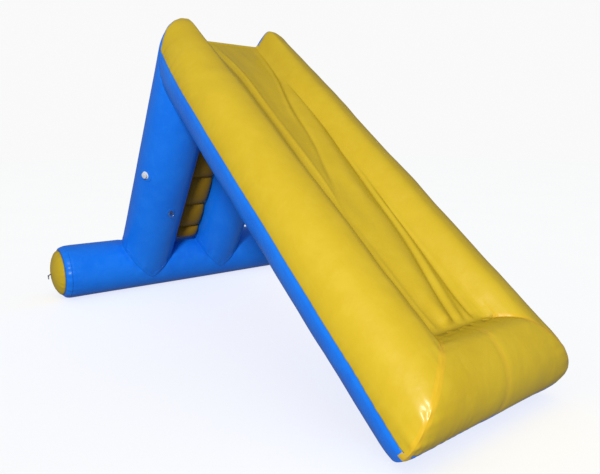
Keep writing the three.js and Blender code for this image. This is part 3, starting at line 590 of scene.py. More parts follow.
for side, sx in (("left", -1.0), ("right", 1.0)):
    seed = 11 if sx < 0 else 23
    for kind, section, mat, nu, nv in (("top", section_top, M_YELLOW, 96, 320), ("lower", section_low, M_BLUE, 84, 260)):
        u = np.linspace(0, 1, nu)[:, None]
        t0 = mitre_t(section, u)
        if kind == "top":
            t1 = at_elbow(section, u, 1.0)
        else:
            hh = section_low(u, np.full(u.shape, LEG_AT))[1]
            t1 = np.where(hh > 0, at_elbow(section, u, 1.0), at_elbow(section, u, -1.0))
        t = t0 + (t1 - t0) * ends_dense(nv)[None, :]
        P = rail_skin(section, sx, seed, u + 0 * t, t)
        C = bed(sx * RAIL_X, t, 0 * t)
        fc = (1 - u) * 560 + 0 * t
        # painted shade: darker along the outer seam and in the elbow where the rail meets the leg
        grime_and_painted_shade = 0.12 * np.exp(-u * 640 / 8) + 0.2 * np.exp(-(t1 - t) / 12) + 0 * t
        if kind == "top":
            grime_and_painted_shade = grime_and_painted_shade + 0.0 * fc
        sheet("rail_%s_fabric_%s" % (kind, side), P, mat, ["rail_%s_skin_%s" % (kind, side)], centre=C, grime_and_painted_shade=grime_and_painted_shade)
    for kind, section, mat in (("top", section_top, M_YELLOW), ("lower", section_low, M_BLUE)):
        u = np.linspace(0, 1, 96)[:, None]
        xe = RAIL_X - mitre_t(section, u)
        x = xe * ends_dense(120, 0.4)[None, :]
        P = bumper_skin(section, sx, seed, u + 0 * x, x)
        C = bed(sx * x, 0 * x, 0 * x)
        grime_and_painted_shade = 0.0 * x
        # painted shade in the crease where the bumper top meets the floor
        if kind == "top":
            grime_and_painted_shade = grime_and_painted_shade + 0.2 * np.exp(-(1 - u) * 560 / 9)
        sheet("bumper_%s_fabric_%s" % (kind, side), P, mat, ["bumper_%s_skin_%s" % (kind, side)], centre=C, grime_and_painted_shade=grime_and_painted_shade)

    # ---------------------------------------------------------------- tapes over the seams
    off = np.array([26, 18, 10, 4, 0.5])
    lift = 0.5
    u = np.linspace(0, 1, 90)[:, None]
    t0 = mitre_t(section_top, u)
    A = rail_skin(section_top, sx, seed, u, t0 + off[None, :], lift)
    B = bumper_skin(section_top, sx, seed, u, RAIL_X - t0 - off[None, ::-1], lift)
    P = np.concatenate([A, B], 1)
    C = np.concatenate([bed(sx * RAIL_X, t0 + off[None, :], 0 * (u + off)), bed(sx * (RAIL_X - t0 - off[None, ::-1]), 0 * (u + off), 0 * (u + off))], 1)
    sheet("mitre_tape_fabric_" + side, P, M_ORANGE_TAPE, ["mitre_tape_" + side], centre=C, wall=0, grime_and_painted_shade=0.0)
    # small patch at the seam crossing
    off2 = np.array([36, 24, 12, 4, 0.5])
    u = np.linspace(0.0, 0.062, 12)[:, None]
    t0 = mitre_t(section_low, u)
    A = rail_skin(section_low, sx, seed, u, t0 + off2[None, :], lift + 0.6)
    B = bumper_skin(section_low, sx, seed, u, RAIL_X - t0 - off2[None, ::-1], lift + 0.6)
    P = np.concatenate([A, B], 1)
    C = np.concatenate([bed(sx * RAIL_X, t0 + off2[None, :], 0 * (u + off2)), bed(sx * (RAIL_X - t0 - off2[None, ::-1]), 0 * (u + off2), 0 * (u + off2))], 1)
    sheet("corner_patch_fabric_" + side, P, M_ORANGE_TAPE, ["corner_patch_" + side], centre=C, wall=0, grime_and_painted_shade=0.0)
    # tape over the long side seam
    ts = np.linspace(-225, LEG_AT - 60, 300)[None, :]
    s0 = seam_angle(ts)
    ut = np.broadcast_to((np.array([2.5, 1.6, 0.8, 0.1])[:, None] / RAIL_R) / (math.pi / 2 - s0) * 0.5, (4, 300))
    ul = np.broadcast_to((np.array([1.0, 12, 24, 34])[:, None] / RAIL_R) / (math.pi / 2 + s0) * 0.62, (4, 300))
    ts = np.maximum(ts, mitre_t(section_top, ut[:1]) + 3)
    P = np.concatenate([rail_skin(section_top, sx, seed, ut, ts + 0 * ut, 0.35), rail_skin(section_low, sx, seed, ul, ts + 0 * ul, 0.35)], 0)
    C = np.broadcast_to(bed(sx * RAIL_X, ts, 0 * ts), P.shape)
    sheet("side_seam_tape_fabric_" + side, P, M_BLUE_TAPE, ["side_seam_tape_" + side], centre=C, wall=0, grime_and_painted_shade=0.0)

u = np.linspace(0, 1, 90)[:, None]
xs = np.array([22, 16, 9, 3])[None, :]
P = np.concatenate([bumper_skin(section_top, -1.0, 11, u, xs, 0.5), bumper_skin(section_top, 1.0, 23, u, xs[:, ::-1], 0.5)], 1)
C = np.concatenate([bed(-xs, 0 * xs, 0 * xs), bed(xs[:, ::-1], 0 * xs, 0 * xs)], 1)
sheet("bumper_middle_tape_fabric", P, M_YELLOW_TAPE, ["bumper_middle_tape"], centre=np.broadcast_to(C, P.shape), wall=0, grime_and_painted_shade=0.0)

# ------------------------------------------------------------------------------------------------ sliding floor
# Slack folds of the sheet: (t, x) line, height, half width, and how strong it is at each point of the line.
FOLDS = [
    ([(3225, -130), (2926, -104), (1944, -125), (1269, -146), (1050, -170)], 6, 15, (0.2, 1, 1, 0.8, 0.0)),
    ([(3225, -185), (2848, -158), (2323, -160), (1834, -178), (1298, -196), (802, -198), (477, -198), (155, -200)], -14, (28, 28, 30, 36, 46, 50, 50, 46), (0.3, 1, 1, 1, 1.2, 1.4, 1.3, 0.8)),
    ([(3225, -20), (2800, -10), (2300, -30), (1800, -60)], -7, 60, (0.3, 1, 1, 0.0)),
    ([(3160, 285), (2734, 205), (2400, 112), (2186, 55), (1950, 25)], 7, 22, (0.2, 1, 1, 0.8, 0.0)),
    ([(3120, 310), (2734, 240), (2400, 152), (2186, 90), (1782, 40), (1425, -60), (1100, -150)], -9, 24, (0.0, 1, 1, 1, 0.9, 0.7, 0.0)),
    ([(2600, 255), (2300, 212), (2000, 175), (1473, 95), (1000, 40), (701, 0), (208, -68)], 36, (50, 60, 66, 112, 120, 108, 70), (0.0, 0.5, 0.8, 1, 1, 1, 0.8)),
    ([(2450, 258), (2050, 236), (1672, 216), (1250, 180), (890, 138), (410, 38), (180, -4)], -15, 32, (0.0, 0.5, 1, 1, 1, 1, 0.8)),
    ([(1700, 240), (1130, 196), (800, 160), (428, 92), (190, 50)], 12, 27, (0.0, 0.8, 1, 1, 0.8)),
    ([(1400, 236), (1022, 222), (371, 172), (175, 150)], -13, 20, (0.0, 1.0, 1.0, 0.8)),
    ([(1000, -165), (600, -172), (200, -168)], 5, 12, (0.0, 1.0, 0.6)),
]
FILLET = 62.0


def line_at(line, t):
    """A smooth curve through the points of a fold line, by averaged straight runs."""
    L = np.array(line, float)[::-1]
    return sum(np.interp(t + o, L[:, 0], L[:, 1]) * w for o, w in ((-160, 0.15), (-80, 0.22), (0, 0.26), (80, 0.22), (160, 0.15)))


def floor_height(x, t):
    """Height of the sliding sheet over the rail axis plane, without its rounded joint with the rails."""
    half = RAIL_X + crease_d(t)
    hc = crease_h(t)
    edge = np.clip(half - np.abs(x), 0, None)
    live = smooth((FLOOR_END - t) / 300) ** 0.8 * smooth((t - 150) / 80)
    h = -7 * smooth(edge / 90) * smooth((t - 155) / 200)
    for line, height, width, gain in FOLDS:
        L = np.array(line, float)[::-1]
        g = np.array(gain, float)[::-1]
        xc = line_at(line, t)
        a = np.interp(t, L[:, 0], g, left=g[0] if L[0, 0] < 215 else 0, right=0)
        w = np.interp(t, L[:, 0], (0.0 * L[:, 0] + np.array(width, float)[::-1]) if isinstance(width, tuple) else 0.0 * L[:, 0] + width)
        w = w * (1 + 0.18 * np.sin(t / 240.0 + height))
        q = (x - xc - 3.5 * np.sin(t / 190.0 + height)) / w
        h = h + height * a * (0.25 + 0.75 * live) * np.exp(-np.abs(q) ** 1.9)
    h = h + 0.8 * small(x * 1.0, t * 0.3) * smooth(edge / 60) * live
    h = h + pucker(x + 0 * t, np.maximum(t - 150, 0) + 0 * x, 5.0, 74, 90, 45) * smooth((t - 150) / 30)
    h = h + pucker(t + 0 * x, edge, 2.2, 120, 70, 41) * live
    return hc + h * smooth(edge / 26) * smooth((t - 152) / 60) * smooth((FLOOR_END + 6 - t) / 40)


small = Waves(71, 90, 240, 12, along=0.12)
nt = 440
LOW_RISE = 34.0
LOW_OUT = LOW_RISE * 0.32 * 150.0 / (0.516 * float(crest_h(150.0) - crease_h(150.0)))
low_t = 150.0 - LOW_OUT
tt = (low_t + (FLOOR_END + 2 - low_t) * ends_dense(nt, 0.35))[None, :]
half = RAIL_X + crease_d(tt) + 1.5
# across: a rounded joint with each rail, then the sheet
rise = (46 + 18 * smooth((tt - 2300) / 900)) * (0.3 + 0.7 * smooth((FLOOR_END - tt) / 120))
slope = 0.516 * (crest_h(tt) - crease_h(tt)) / (0.32 * -crease_d(tt))
out, width = rise / slope, 2 * rise / slope
inner = np.linspace(-1, 1, 190)[1:-1]
rows_x, rows_add = [], []
for q in np.linspace(0, 1, 20):
    rows_x.append(-half - out + width * q)
    rows_add.append(rise * (1 - q) ** 2 - 3.0 * (1 - q) ** 6)
for q in inner:
    rows_x.append(q * (half + out - width))
    rows_add.append(0 * rise)
for q in np.linspace(1, 0, 20):
    rows_x.append(half + out - width * q)
    rows_add.append(rise * (1 - q) ** 2 - 3.0 * (1 - q) ** 6)
xx, add = np.concatenate(rows_x, 0), np.concatenate(rows_add, 0)
lip = LOW_RISE * np.clip(1 - (tt - low_t) / (2 * LOW_OUT), 0, 1) ** 2 + 0 * xx
# the lower end joins the bumper in the same way, and the two joints run into each other at the corners
hh = floor_height(xx, tt + 0 * xx) + (add ** 6 + lip ** 6) ** (1 / 6)
# rolled over its top end
roll = np.clip((tt - FLOOR_END + 8) / 10, 0, 1)
hh = hh - 5 * roll ** 2
P = bed(xx, tt + 0 * xx, hh)
C = bed(xx, tt + 0 * xx, hh - 200)
edge = np.clip(half - np.abs(xx), 0, None)
# painted shade: darker in the fold valleys that sink below the crease height, and at the lower end where the sheet
# meets the bumper
low = np.clip((crease_h(tt) - 8 - hh) / 20, 0, 1)
grime_and_painted_shade = np.clip(0.25 * low + 0.35 * np.exp(-(tt - 152) / 10), 0, 1) + 0 * xx
sheet("sliding_floor_fabric", P, M_YELLOW, ["sliding_floor"], centre=C, grime_and_painted_shade=grime_and_painted_shade)

# inner webs of the floor: from the underside to the sheet, just under its folds
for side, sx in (("left", -1.0), ("right", 1.0)):
    tw = np.linspace(200, FLOOR_END - 60, 160)[:, None]
    vw = np.linspace(0, 1, 8)[None, :]
    xb, xt = sx * 0.335 * (RAIL_X - 155), sx * 0.335 * (RAIL_X + crease_d(tw))
    x = xb + (xt - xb) * vw
    top_h = floor_height(xt, tw) - 9
    P = bed(x, tw + 0 * vw, -158 + (top_h + 158) * vw)
    sheet("floor_web_sheet_" + side, P, M_INNER, ["floor_web_" + side], wall=0.002)

# underside and end panel
nx, nt = 60, 160
uu = np.linspace(-1, 1, nx)[:, None]
tt = np.linspace(155, FLOOR_END, nt)[None, :]
half = (RAIL_X - 155) + 0 * tt
hh = -162 - 0.0 * uu + 0 * tt
sag = -16 * (np.sin(math.pi * (uu * 1.5 + 0.5)) ** 2) * smooth((tt - 155) / 200) * smooth((FLOOR_END - 380 - tt) / 300) + 0 * uu
hh = hh + sag + pucker(tt + 0 * uu, (1 - np.abs(uu)) * half, 3.0, 90, 60, 51)
P = bed(uu * half, tt + 0 * uu, np.minimum(hh, -158))
# painted shade: darker along its side edges where it meets the rails
sheet("floor_underside_fabric", P, M_BLUE, ["floor_underside"], centre=bed(uu * half, tt + 0 * uu, hh + 200), grime_and_painted_shade=0.3 * np.exp(-((1 - np.abs(uu)) * half) / 14))
nx, nt = 60, 40
uu = np.linspace(-1, 1, nx)[:, None]
vv = np.linspace(0, 1, nt)[None, :]
half = (RAIL_X + crease_d(FLOOR_END)) + 3 - 4 * smooth((vv - 0.85) / 0.15)
bulge = 22 * (1 - uu ** 4) * (1 - (2 * vv - 1) ** 2)
hgt = -162 + (crease_h(FLOOR_END) - 7 + 162) * vv + 0 * uu
rip = pucker(uu * half, (1 - vv) * 260 + 0 * uu, 2.5, 60, 60, 53)
P = bed(uu * half, FLOOR_END + 1 + bulge + rip, hgt)
# painted shade: darker along its side edges where it meets the rails
sheet("floor_end_fabric", P, M_BLUE, ["floor_end_panel"], centre=bed(uu * half, FLOOR_END - 200 + 0 * bulge, hgt), grime_and_painted_shade=0.2 * np.exp(-(1 - np.abs(uu)) * half / 10) + 0 * vv)

# ------------------------------------------------------------------------------------------------ legs
def leg_outline(sx):
    """Angle round the leg, the height of its upper edge there, the direction in which the elbow is rounded and how much: matched to the section of the rail it is mitred to."""
    TH, K, V, G = [], [], [], []

    def put(section, u, t, side):
        d, h = section(u, t)
        x = RAIL_X + d
        th = np.arccos(np.clip((x - LEG_X) / LEG_R, -1, 1))
        q = side * LEG_R * np.sin(th)
        N1 = skin_frame(section, u, t, sx)[1]
        Nl = leg_radial(sx, x, q)
        TH.append(th if side > 0 else 2 * math.pi - th); K.append((h + q * LS) / LN)
        V.append(unit(N1 + Nl)); G.append(elbow_gain(q) if side > 0 else 0 * q)

    def plain(th):
        x, q = LEG_X + LEG_R * np.cos(th), LEG_R * np.sin(th)
        TH.append(th); K.append((-163.0 + q * LS) / LN)
        V.append(leg_radial(sx, x, q)); G.append(0 * q)

    s0 = float(seam_angle(LEG_AT))
    u_eq = s0 / (math.pi / 2 + s0) * 0.62
    u = np.linspace(u_eq, 0, 8)[:-1]
    put(section_low, u, at_elbow(section_low, u, 1.0), 1)
    u = np.linspace(0, 1, 160)
    put(section_top, u, at_elbow(section_top, u, 1.0), 1)
    th_end = float(TH[-1][-1])
    plain(np.linspace(th_end + 0.012, 2 * math.pi - math.acos(np.clip((RAIL_X - 158 - LEG_X) / LEG_R, -1, 1)), 60))
    u = np.linspace(1, u_eq, 160)[1:]
    put(section_low, u, at_elbow(section_low, u, -1.0), -1)
    TH, K, V, G = (np.concatenate(v) for v in (TH, K, V, G))
    order = np.argsort(TH, kind="stable")
    return TH[order], K[order], V[order], G[order], th_end


def leg_values(table, th):
    TH, K, V, G, _ = table
    return np.interp(th, TH, K), np.stack([np.interp(th, TH, V[:, c]) for c in range(3)], -1), np.interp(th, TH, G)


UP = np.array([0, LY, LZ])


def frame_at(o, n, u):
    N = unit(np.asarray(n, float))
    U = unit(np.asarray(u, float) - N * np.dot(u, N))
    return np.asarray(o, float), N, U, np.cross(N, U)


VALVE_O = np.array([-610.15, 1071.17, 1188.12])
VO, VN, VU, VV = frame_at(VALVE_O, [-0.90128, -0.35938, -0.24194], UP)
VK, RK = 1205 - LEG_LEN, 875 - LEG_LEN
RPHI = math.radians(85.8)
vrel = VALVE_O - leg(-LEG_X, 0, VK)


def leg_front(sx, R, phi, k):
    return leg(sx * (LEG_X - R * np.cos(phi)), -R * np.sin(phi), k)


def near_plane(P, o, N, r_in, r_out, height):
    """Draws a skin onto a flat seat of a fitting."""
    rel = P - o
    z = rel @ N
    r = np.linalg.norm(rel - z[..., None] * N, axis=-1)
    w = smooth((r_out - r) / (r_out - r_in)) * (np.abs(z) < 60)
    return P + N * (w * (height - z))[..., None]


for side, sx in (("left", -1.0), ("right", 1.0)):
    seed = 61 if sx < 0 else 67
    table = leg_outline(sx)
    the = table[4]
    TH = np.concatenate([np.linspace(0, the, 110), [the + 0.012], np.linspace(the + 0.03, math.pi, 24), np.linspace(math.pi, 2 * math.pi, 120)[1:-1]])
    K, V, G = leg_values(table, TH)
    X, Q = LEG_X + LEG_R * np.cos(TH), LEG_R * np.sin(TH)
    foot = np.sqrt(np.maximum(900, (BASE_R + 1.0) ** 2 - Q * Q)) - LEG_LEN
    k = foot[:, None] + (K - foot)[:, None] * ends_dense(210, 0.7)[None, :]
    C = leg(sx * LEG_X + 0 * k, 0 * k, k)
    P0 = leg(sx * X[:, None] + 0 * k, Q[:, None] + 0 * k, k)
    n = unit(P0 - C)
    foot_of = lambda q: np.sqrt(np.maximum(900, (BASE_R + 1.0) ** 2 - q * q)) - LEG_LEN

    def leg_disp(kk, TH=TH, K=K):
        Q = LEG_R * np.sin(TH)
        ang = TH[:, None]
        ripple = np.sin(13 * ang + 2.4 * np.sin(ang * 2)) + 0.6 * np.sin(21 * ang + 1.0) + 0.5 * np.sin(8 * ang + seed)
        ff, ft = kk - foot_of(Q)[:, None], K[:, None] - kk
        d = 1.6 * np.sin(2 * ang + 1.2 + kk / 700) + 1.0 * np.sin(3 * ang + kk / 500 + sx) + 0.45 * np.sin(5 * ang + kk / 130) * np.sin(kk / 210)
        d = d + 3.4 * ripple * np.exp(-(np.maximum(ff, 0) / 95) ** 1.1) * smooth(ff / 40)
        front = smooth(-Q[:, None] / 60)
        d = d + (2.0 + 1.4 * front) * ripple * np.exp(-(np.maximum(ft, 0) / 80) ** 1.1)
        d = d - 2.0 * front * np.exp(-((ft / 26) ** 2))
        return d * smooth(ft / 18)

    disp = leg_disp(k)
    fittings = [(leg_front(sx, LEG_R, RPHI, RK), 60, 130)] + ([(VALVE_O, 70, 150)] if sx < 0 else [])
    for o, r0, r1 in fittings:
        r = np.linalg.norm(P0 - o, axis=-1)
        disp = disp * smooth((r - r0) / (r1 - r0))
    P = P0 + n * disp[..., None]
    P = P - V[:, None, :] * (ELBOW * G[:, None] * np.clip(1 - (K[:, None] - k) / 66, 0, 1) ** 2)[..., None]
    if sx < 0:
        P = near_plane(P, VO, VN, 37, 72, 1.2)
    # painted shade: darker at the foot where the leg meets the base tube and at the top where it meets the rail
    grime_and_painted_shade = 0.3 * np.exp(-(k - foot[:, None]) / 14) + 0.25 * np.exp(-(K[:, None] - k) / 12)
    sheet("leg_fabric_" + side, P, M_BLUE, ["leg_" + side], closed=True, centre=C, grime_and_painted_shade=grime_and_painted_shade)

    # tape round the foot of the leg
    kk = foot[:, None] + np.array([3, 8, 16, 26, 38, 48, 52])[None, :]
    Pk = leg(sx * X[:, None] + 0 * kk, Q[:, None] + 0 * kk, kk)
    Ck = leg(sx * LEG_X + 0 * kk, 0 * kk, kk)
    Pk = Pk + unit(Pk - Ck) * (leg_disp(kk) + 1.7)[..., None]
    sheet("leg_collar_fabric_" + side, Pk, M_BLUE_TAPE, ["leg_collar_" + side], closed=True, centre=Ck, wall=0.0014, grime_and_painted_shade=0.2)

    # tape over the elbow: the rail's side, then the leg's
    off = np.array([24, 15, 8, 3])
    u = np.linspace(0, 1, 90)[:, None]
    t1 = at_elbow(section_top, u, 1.0)
    A = rail_skin(section_top, sx, 11 if sx < 0 else 23, u, t1 - off[None, :], 0.6)
    thr = np.arccos(np.clip((RAIL_X + section_top(u, t1)[0] - LEG_X) / LEG_R, -1, 1))[:, 0]
    Kr, Vr, Gr = leg_values(table, thr)
    kk = Kr[:, None] - off[None, ::-1]
    xr, qr = LEG_X + LEG_R * np.cos(thr)[:, None], LEG_R * np.sin(thr)[:, None]
    B = leg(sx * xr + 0 * kk, qr + 0 * kk, kk)
    Cb = leg(sx * LEG_X + 0 * kk, 0 * kk, kk)
    B = B + unit(B - Cb) * (leg_disp(kk, thr, Kr) + 0.6)[..., None] - Vr[:, None, :] * (ELBOW * Gr[:, None] * np.clip(1 - off[None, ::-1] / 66, 0, 1) ** 2)[..., None]
    P = np.concatenate([A, B], 1)
    Ce = np.concatenate([bed(sx * RAIL_X, t1 - off[None, :], 0 * (u + off)), Cb], 1)
    sheet("elbow_tape_fabric_" + side, P, M_BLUE_TAPE, ["elbow_tape_" + side], centre=Ce, wall=0.0013, grime_and_painted_shade=0.1)

# ------------------------------------------------------------------------------------------------ base tube
PROFILE = [(0, 250.0), (1085, 250.0), (1125, 249.0), (1150, 246.5), (1170, 241.5), (1186, 233.0), (1197, 222.0), (1203, 212.5)]


def base_at(x, r, th):
    x, r, th = np.broadcast_arrays(np.asarray(x, float), np.asarray(r, float), np.asarray(th, float))
    return np.stack([x, BASE_Y + r * np.cos(th) - MID_Y, BASE_Z + r * np.sin(th)], -1)


px = np.array([p[0] for p in PROFILE], float)
pr = np.array([p[1] for p in PROFILE], float)
th = np.linspace(0, 2 * math.pi, 181)[:-1][:, None]
grow = np.concatenate([np.linspace(0, 1060, 150), 1060 + 143 * np.linspace(0, 1, 48)[1:] ** 0.9])
xs = np.concatenate([-grow[::-1], grow[1:]])[None, :]
seamr = np.sin(17 * th + 2.2 * np.sin(2 * th)) + 0.7 * np.sin(27 * th + 1.3) + 0.5 * np.sin(11 * th + 2.0)


def base_disp(x, thh, rip):
    ax = np.abs(x)
    d = 1.6 * np.sin(2 * thh + x / 600) + 0.9 * np.sin(3 * thh + x / 350)
    g = np.clip((1203 - ax) / 60, 0, 1)
    d = d + rip * (2.6 * np.exp(-((1203 - ax) / 75) ** 1.2)) * smooth((1203 - ax) / 14)
    for c in (-LEG_X, LEG_X):
        r = np.hypot((x - c), BASE_R * np.arctan2(np.sin(thh - 2.163), np.cos(thh - 2.163)))
        d = d - 5 * np.exp(-(((r - LEG_R - 12) / 26) ** 2)) + 2.2 * np.sin(14 * np.arctan2(BASE_R * np.arctan2(np.sin(thh - 2.163), np.cos(thh - 2.163)), x - c)) * np.exp(-(((r - LEG_R - 40) / 45) ** 2))
    return d * smooth((1203 - ax) / 10)


r = np.interp(np.abs(xs), px, pr) + base_disp(xs, th, seamr)
P = base_at(xs, r, th)
C = base_at(xs, 0 * r, th)
# painted shade: darker at the shoulders near both ends and near the ground, where the tube meets the floor
grime_and_painted_shade = 0.25 * np.exp(-(1203 - np.abs(xs)) / 10) + 0 * r + 0.35 * np.exp(-np.maximum(P[..., 2], 0) / 25)
sheet("base_tube_fabric", P, M_BLUE, ["base_tube"], closed=True, centre=C, grime_and_painted_shade=grime_and_painted_shade)

for side, sx in (("left", -1.0), ("right", 1.0)):
    # band welded round the shoulder, puckered
    bx = np.concatenate([np.linspace(1150, 1200, 12)])[None, :]
    rr = np.interp(bx, px, pr) + base_disp(bx, th, seamr) + 1.6
    P = base_at(sx * (bx + 0.8 * smooth((bx - 1160) / 40)), rr, th)
    sheet("end_band_fabric_" + side, P, M_BLUE_TAPE, ["end_band_" + side], closed=True, centre=base_at(sx * bx, 0 * rr, th), wall=0.0013, grime_and_painted_shade=0.15)
    # domed end cap
    rho = np.linspace(0.012, 1.0, 60)[None, :] ** 0.9
    wrinkle = (1.9 * np.sin(17 * th + 2.2 * np.sin(2 * th) + sx) + 1.3 * np.sin(29 * th + 1.0) + 1.2 * np.sin(9 * th)) * np.exp(-((1 - rho) / 0.16) ** 1.2) * smooth((1 - rho) / 0.03)
    x = BASE_HALF + CAP_BULGE * np.maximum(0, 1 - rho ** 2) ** 0.62 + wrinkle + 0 * th
    P = base_at(sx * x, 211.8 * rho + 0 * th, th)
    # painted shade: darker round the rim where the cap meets the tube
    sheet("end_cap_fabric_" + side, P, M_YELLOW, ["base_end_cap_" + side], closed=True, centre=base_at(sx * (BASE_HALF - 200) + 0 * x, 0 * x, th), grime_and_painted_shade=0.5 * np.exp(-(1 - rho) * 212 / 9) + 0 * th)

# ------------------------------------------------------------------------------------------------ climbing pad
uu = np.linspace(-1, 1, 61)[:, None]
ks, dep, pull = [], [], []
for a, b in zip(PAD_CUTS[:-1], PAD_CUTS[1:]):
    s = np.linspace(-1, 1, 34)[:-1]
    first_cut, last_cut = a == PAD_CUTS[0], b == PAD_CUTS[-1]
    lo = np.where(s < 0, 4.0 if first_cut else 40.0, 4.0 if last_cut else 40.0)
    dome = np.maximum(0, 1 - np.abs(s) ** 2.3) ** 0.55
    ks.extend(a + (b - a) * (s + 1) / 2)
    dep.extend(lo + (98 - lo) * dome)
    pull.extend(1 - dome)
ks.append(PAD_CUTS[-1]); dep.append(4.0); pull.append(1.0)
ks, dep, pull = (np.array(v)[None, :] for v in (ks, dep, pull))
for face, sgn in (("front", -1.0), ("rear", 1.0)):
    edge_u = np.maximum(0, 1 - np.abs(uu) ** 3.0) ** 0.5
    depth = 3 + (dep - 3) * edge_u
    gather = (np.sin(uu * 21 + 0.7 * sgn) + 0.6 * np.sin(uu * 34 + 2)) * 2.6 * np.exp(-((1 - pull) / 0.42) ** 2) * edge_u
    depth = np.maximum(depth + gather * (dep > 20), 2.0)
    hw = 137 - 13 * pull + 1.5 * np.sin(ks / 31)
    P = leg(uu * hw, PAD_BACK + sgn * depth, ks - LEG_LEN + 0 * uu)
    C = leg(0 * uu + 0 * hw, PAD_BACK + 0 * depth, ks - LEG_LEN + 0 * uu)
    # painted shade: darker in the notches between the lobes
    g = 0.5 * pull ** 6 + 0 * uu
    sheet("climbing_pad_fabric_" + face, P, M_PAD_PAINTED_SHADE, ["climbing_pad_" + face], centre=C, grime_and_painted_shade=g)

# ------------------------------------------------------------------------------------------------ patches and fittings
def polar(o, N, U, V, r, z, n=48):
    """Surface of revolution about N."""
    a = np.linspace(0, 2 * math.pi, n + 1)[:-1][:, None]
    r, z = np.asarray(r, float)[None, :], np.asarray(z, float)[None, :]
    return o + (r * np.cos(a))[..., None] * U + (r * np.sin(a))[..., None] * V + (z + 0 * a)[..., None] * N


def solid(name, grids, mat, nodes, body=BODY, closed_v=True, bevel=None):
    """Closed rings of points, in mm, joined into one closed smooth-shaded mesh."""
    verts, faces = [], []
    for G, wrap in grids:
        nu, nv = G.shape[:2]
        base = len(verts)
        verts.extend((G * 0.001).reshape(-1, 3).tolist())
        for i in range(nu):
            for j in range(nv if wrap else nv - 1):
                i2, j2 = (i + 1) % nu, (j + 1) % nv
                faces.append((base + i * nv + j, base + i2 * nv + j, base + i2 * nv + j2, base + i * nv + j2))
    me = bpy.data.meshes.new(name)
    me.from_pydata(verts, [], faces)
    import bmesh
    bm = bmesh.new()
    bm.from_mesh(me)
    bmesh.ops.remove_doubles(bm, verts=bm.verts, dist=2e-6)
    bmesh.ops.recalc_face_normals(bm, faces=bm.faces)
    bm.to_mesh(me)
    bm.free()
    me.polygons.foreach_set("use_smooth", np.ones(len(me.polygons), bool))
    me.materials.append(mat)
    me.update()
    ob = bpy.data.objects.new(name, me)
    bpy.context.scene.collection.objects.link(ob)
    ob.modifiers.new("edges", "EDGE_SPLIT").split_angle = math.radians(38)
    finish_piece(ob, nodes, body)
    return ob


def rounded(profile, r=0.8, n=4):
    """Profile (r, z) with its corners rounded off, as a closed loop."""
    out = []
    m = len(profile)
    for i in range(m):
        a, b, c = (np.array(profile[(i + k) % m], float) for k in (-1, 0, 1))
        if b[0] < 0.01:
            out.append(tuple(b))
            continue
        la, lc = np.linalg.norm(a - b), np.linalg.norm(c - b)
        rr = min(r, la * 0.45, lc * 0.45)
        p, q = b + (a - b) / la * rr, b + (c - b) / lc * rr
        for s in np.linspace(0, 1, n):
            out.append(tuple((1 - s) ** 2 * p + 2 * s * (1 - s) * b + s * s * q))
    return np.array(out)


def turned(name, profile, mat, node, body=BODY, r=0.8, n=64, ribs=None):
    L = rounded(profile, r)
    a = np.linspace(0, 2 * math.pi, n + 1)[:-1][:, None]
    rad, z = L[:, 0][None, :] + 0 * a, L[:, 1][None, :] + 0 * a
    if ribs:
        count, depth, r_from, z_lo, z_hi = ribs
        w = smooth((rad - r_from) / 1.0) * smooth((z - z_lo) / 1.5) * smooth((z_hi - z) / 1.5)
        rad = rad - depth * w * (0.5 + 0.5 * np.sign(np.sin(count * a)))
    G = VO + (rad * np.cos(a))[..., None] * VU + (rad * np.sin(a))[..., None] * VV + z[..., None] * VN
    return solid(name, [(G, True)], mat, [node], body)


# valve patch
a = np.linspace(0, 2 * math.pi, 97)[:-1][:, None]
rr = np.array([19, 27, 36, 44, 52, 58, 60.0])[None, :]
phi0 = math.atan2(*(lambda p: (p[1], p[0]))((-(VALVE_O[0] + LEG_X) , float(np.dot(vrel, np.array([0, LZ, -LY]))))))
phi = phi0 + rr * np.cos(a) / LEG_R
P = leg(-(LEG_X + (LEG_R + 2.2) * np.cos(phi)), (LEG_R + 2.2) * np.sin(phi), VK + rr * np.sin(a))
P = near_plane(P, VO, VN, 37, 72, 3.0)
sheet("valve_patch_fabric", P, M_BLUE_TAPE, ["valve_patch"], closed=True, centre=np.broadcast_to(leg(-LEG_X, 0, VK), P.shape), wall=0.0014, grime_and_painted_shade=0.15)
turned("valve_body_shell", [(13, -18), (17.5, -18), (17.5, 3.9), (34.5, 3.9), (34.5, 5.9), (31, 7.5), (22, 8.5), (22, 20), (19.5, 21.5), (13, 21.5)], M_WHITE, "valve_body", ribs=(36, 0.9, 31.5, 3.0, 9.0))
turned("valve_cap_shell", [(0, 27), (22, 27), (25.3, 25), (25.3, 9.8), (22.6, 9.8), (22.6, 23), (0, 23)], M_WHITE, "valve_cap", "valve_cap_body", r=1.4, n=144, ribs=(24, 0.9, 24.4, 9.5, 25.0))
turned("valve_plunger_shell", [(0, -25), (15.5, -25), (15.5, -21.5), (2, -21.5), (2, 15), (5.4, 15.4), (5.4, 17), (0, 17)], M_WHITE, "valve_plunger", "valve_plunger_body", r=0.5)


def wire(points, r, n=14, closed=True, up=None):
    P = np.asarray(points, float)
    M = len(P)
    T = unit(np.roll(P, -1, 0) - np.roll(P, 1, 0)) if closed else unit(np.gradient(P, axis=0))
    S = unit(np.cross(T, up))
    W = np.cross(S, T)
    a = np.linspace(0, 2 * math.pi, n + 1)[:-1][:, None, None]
    return P[None] + r * np.cos(a) * S[None] + r * np.sin(a) * W[None]


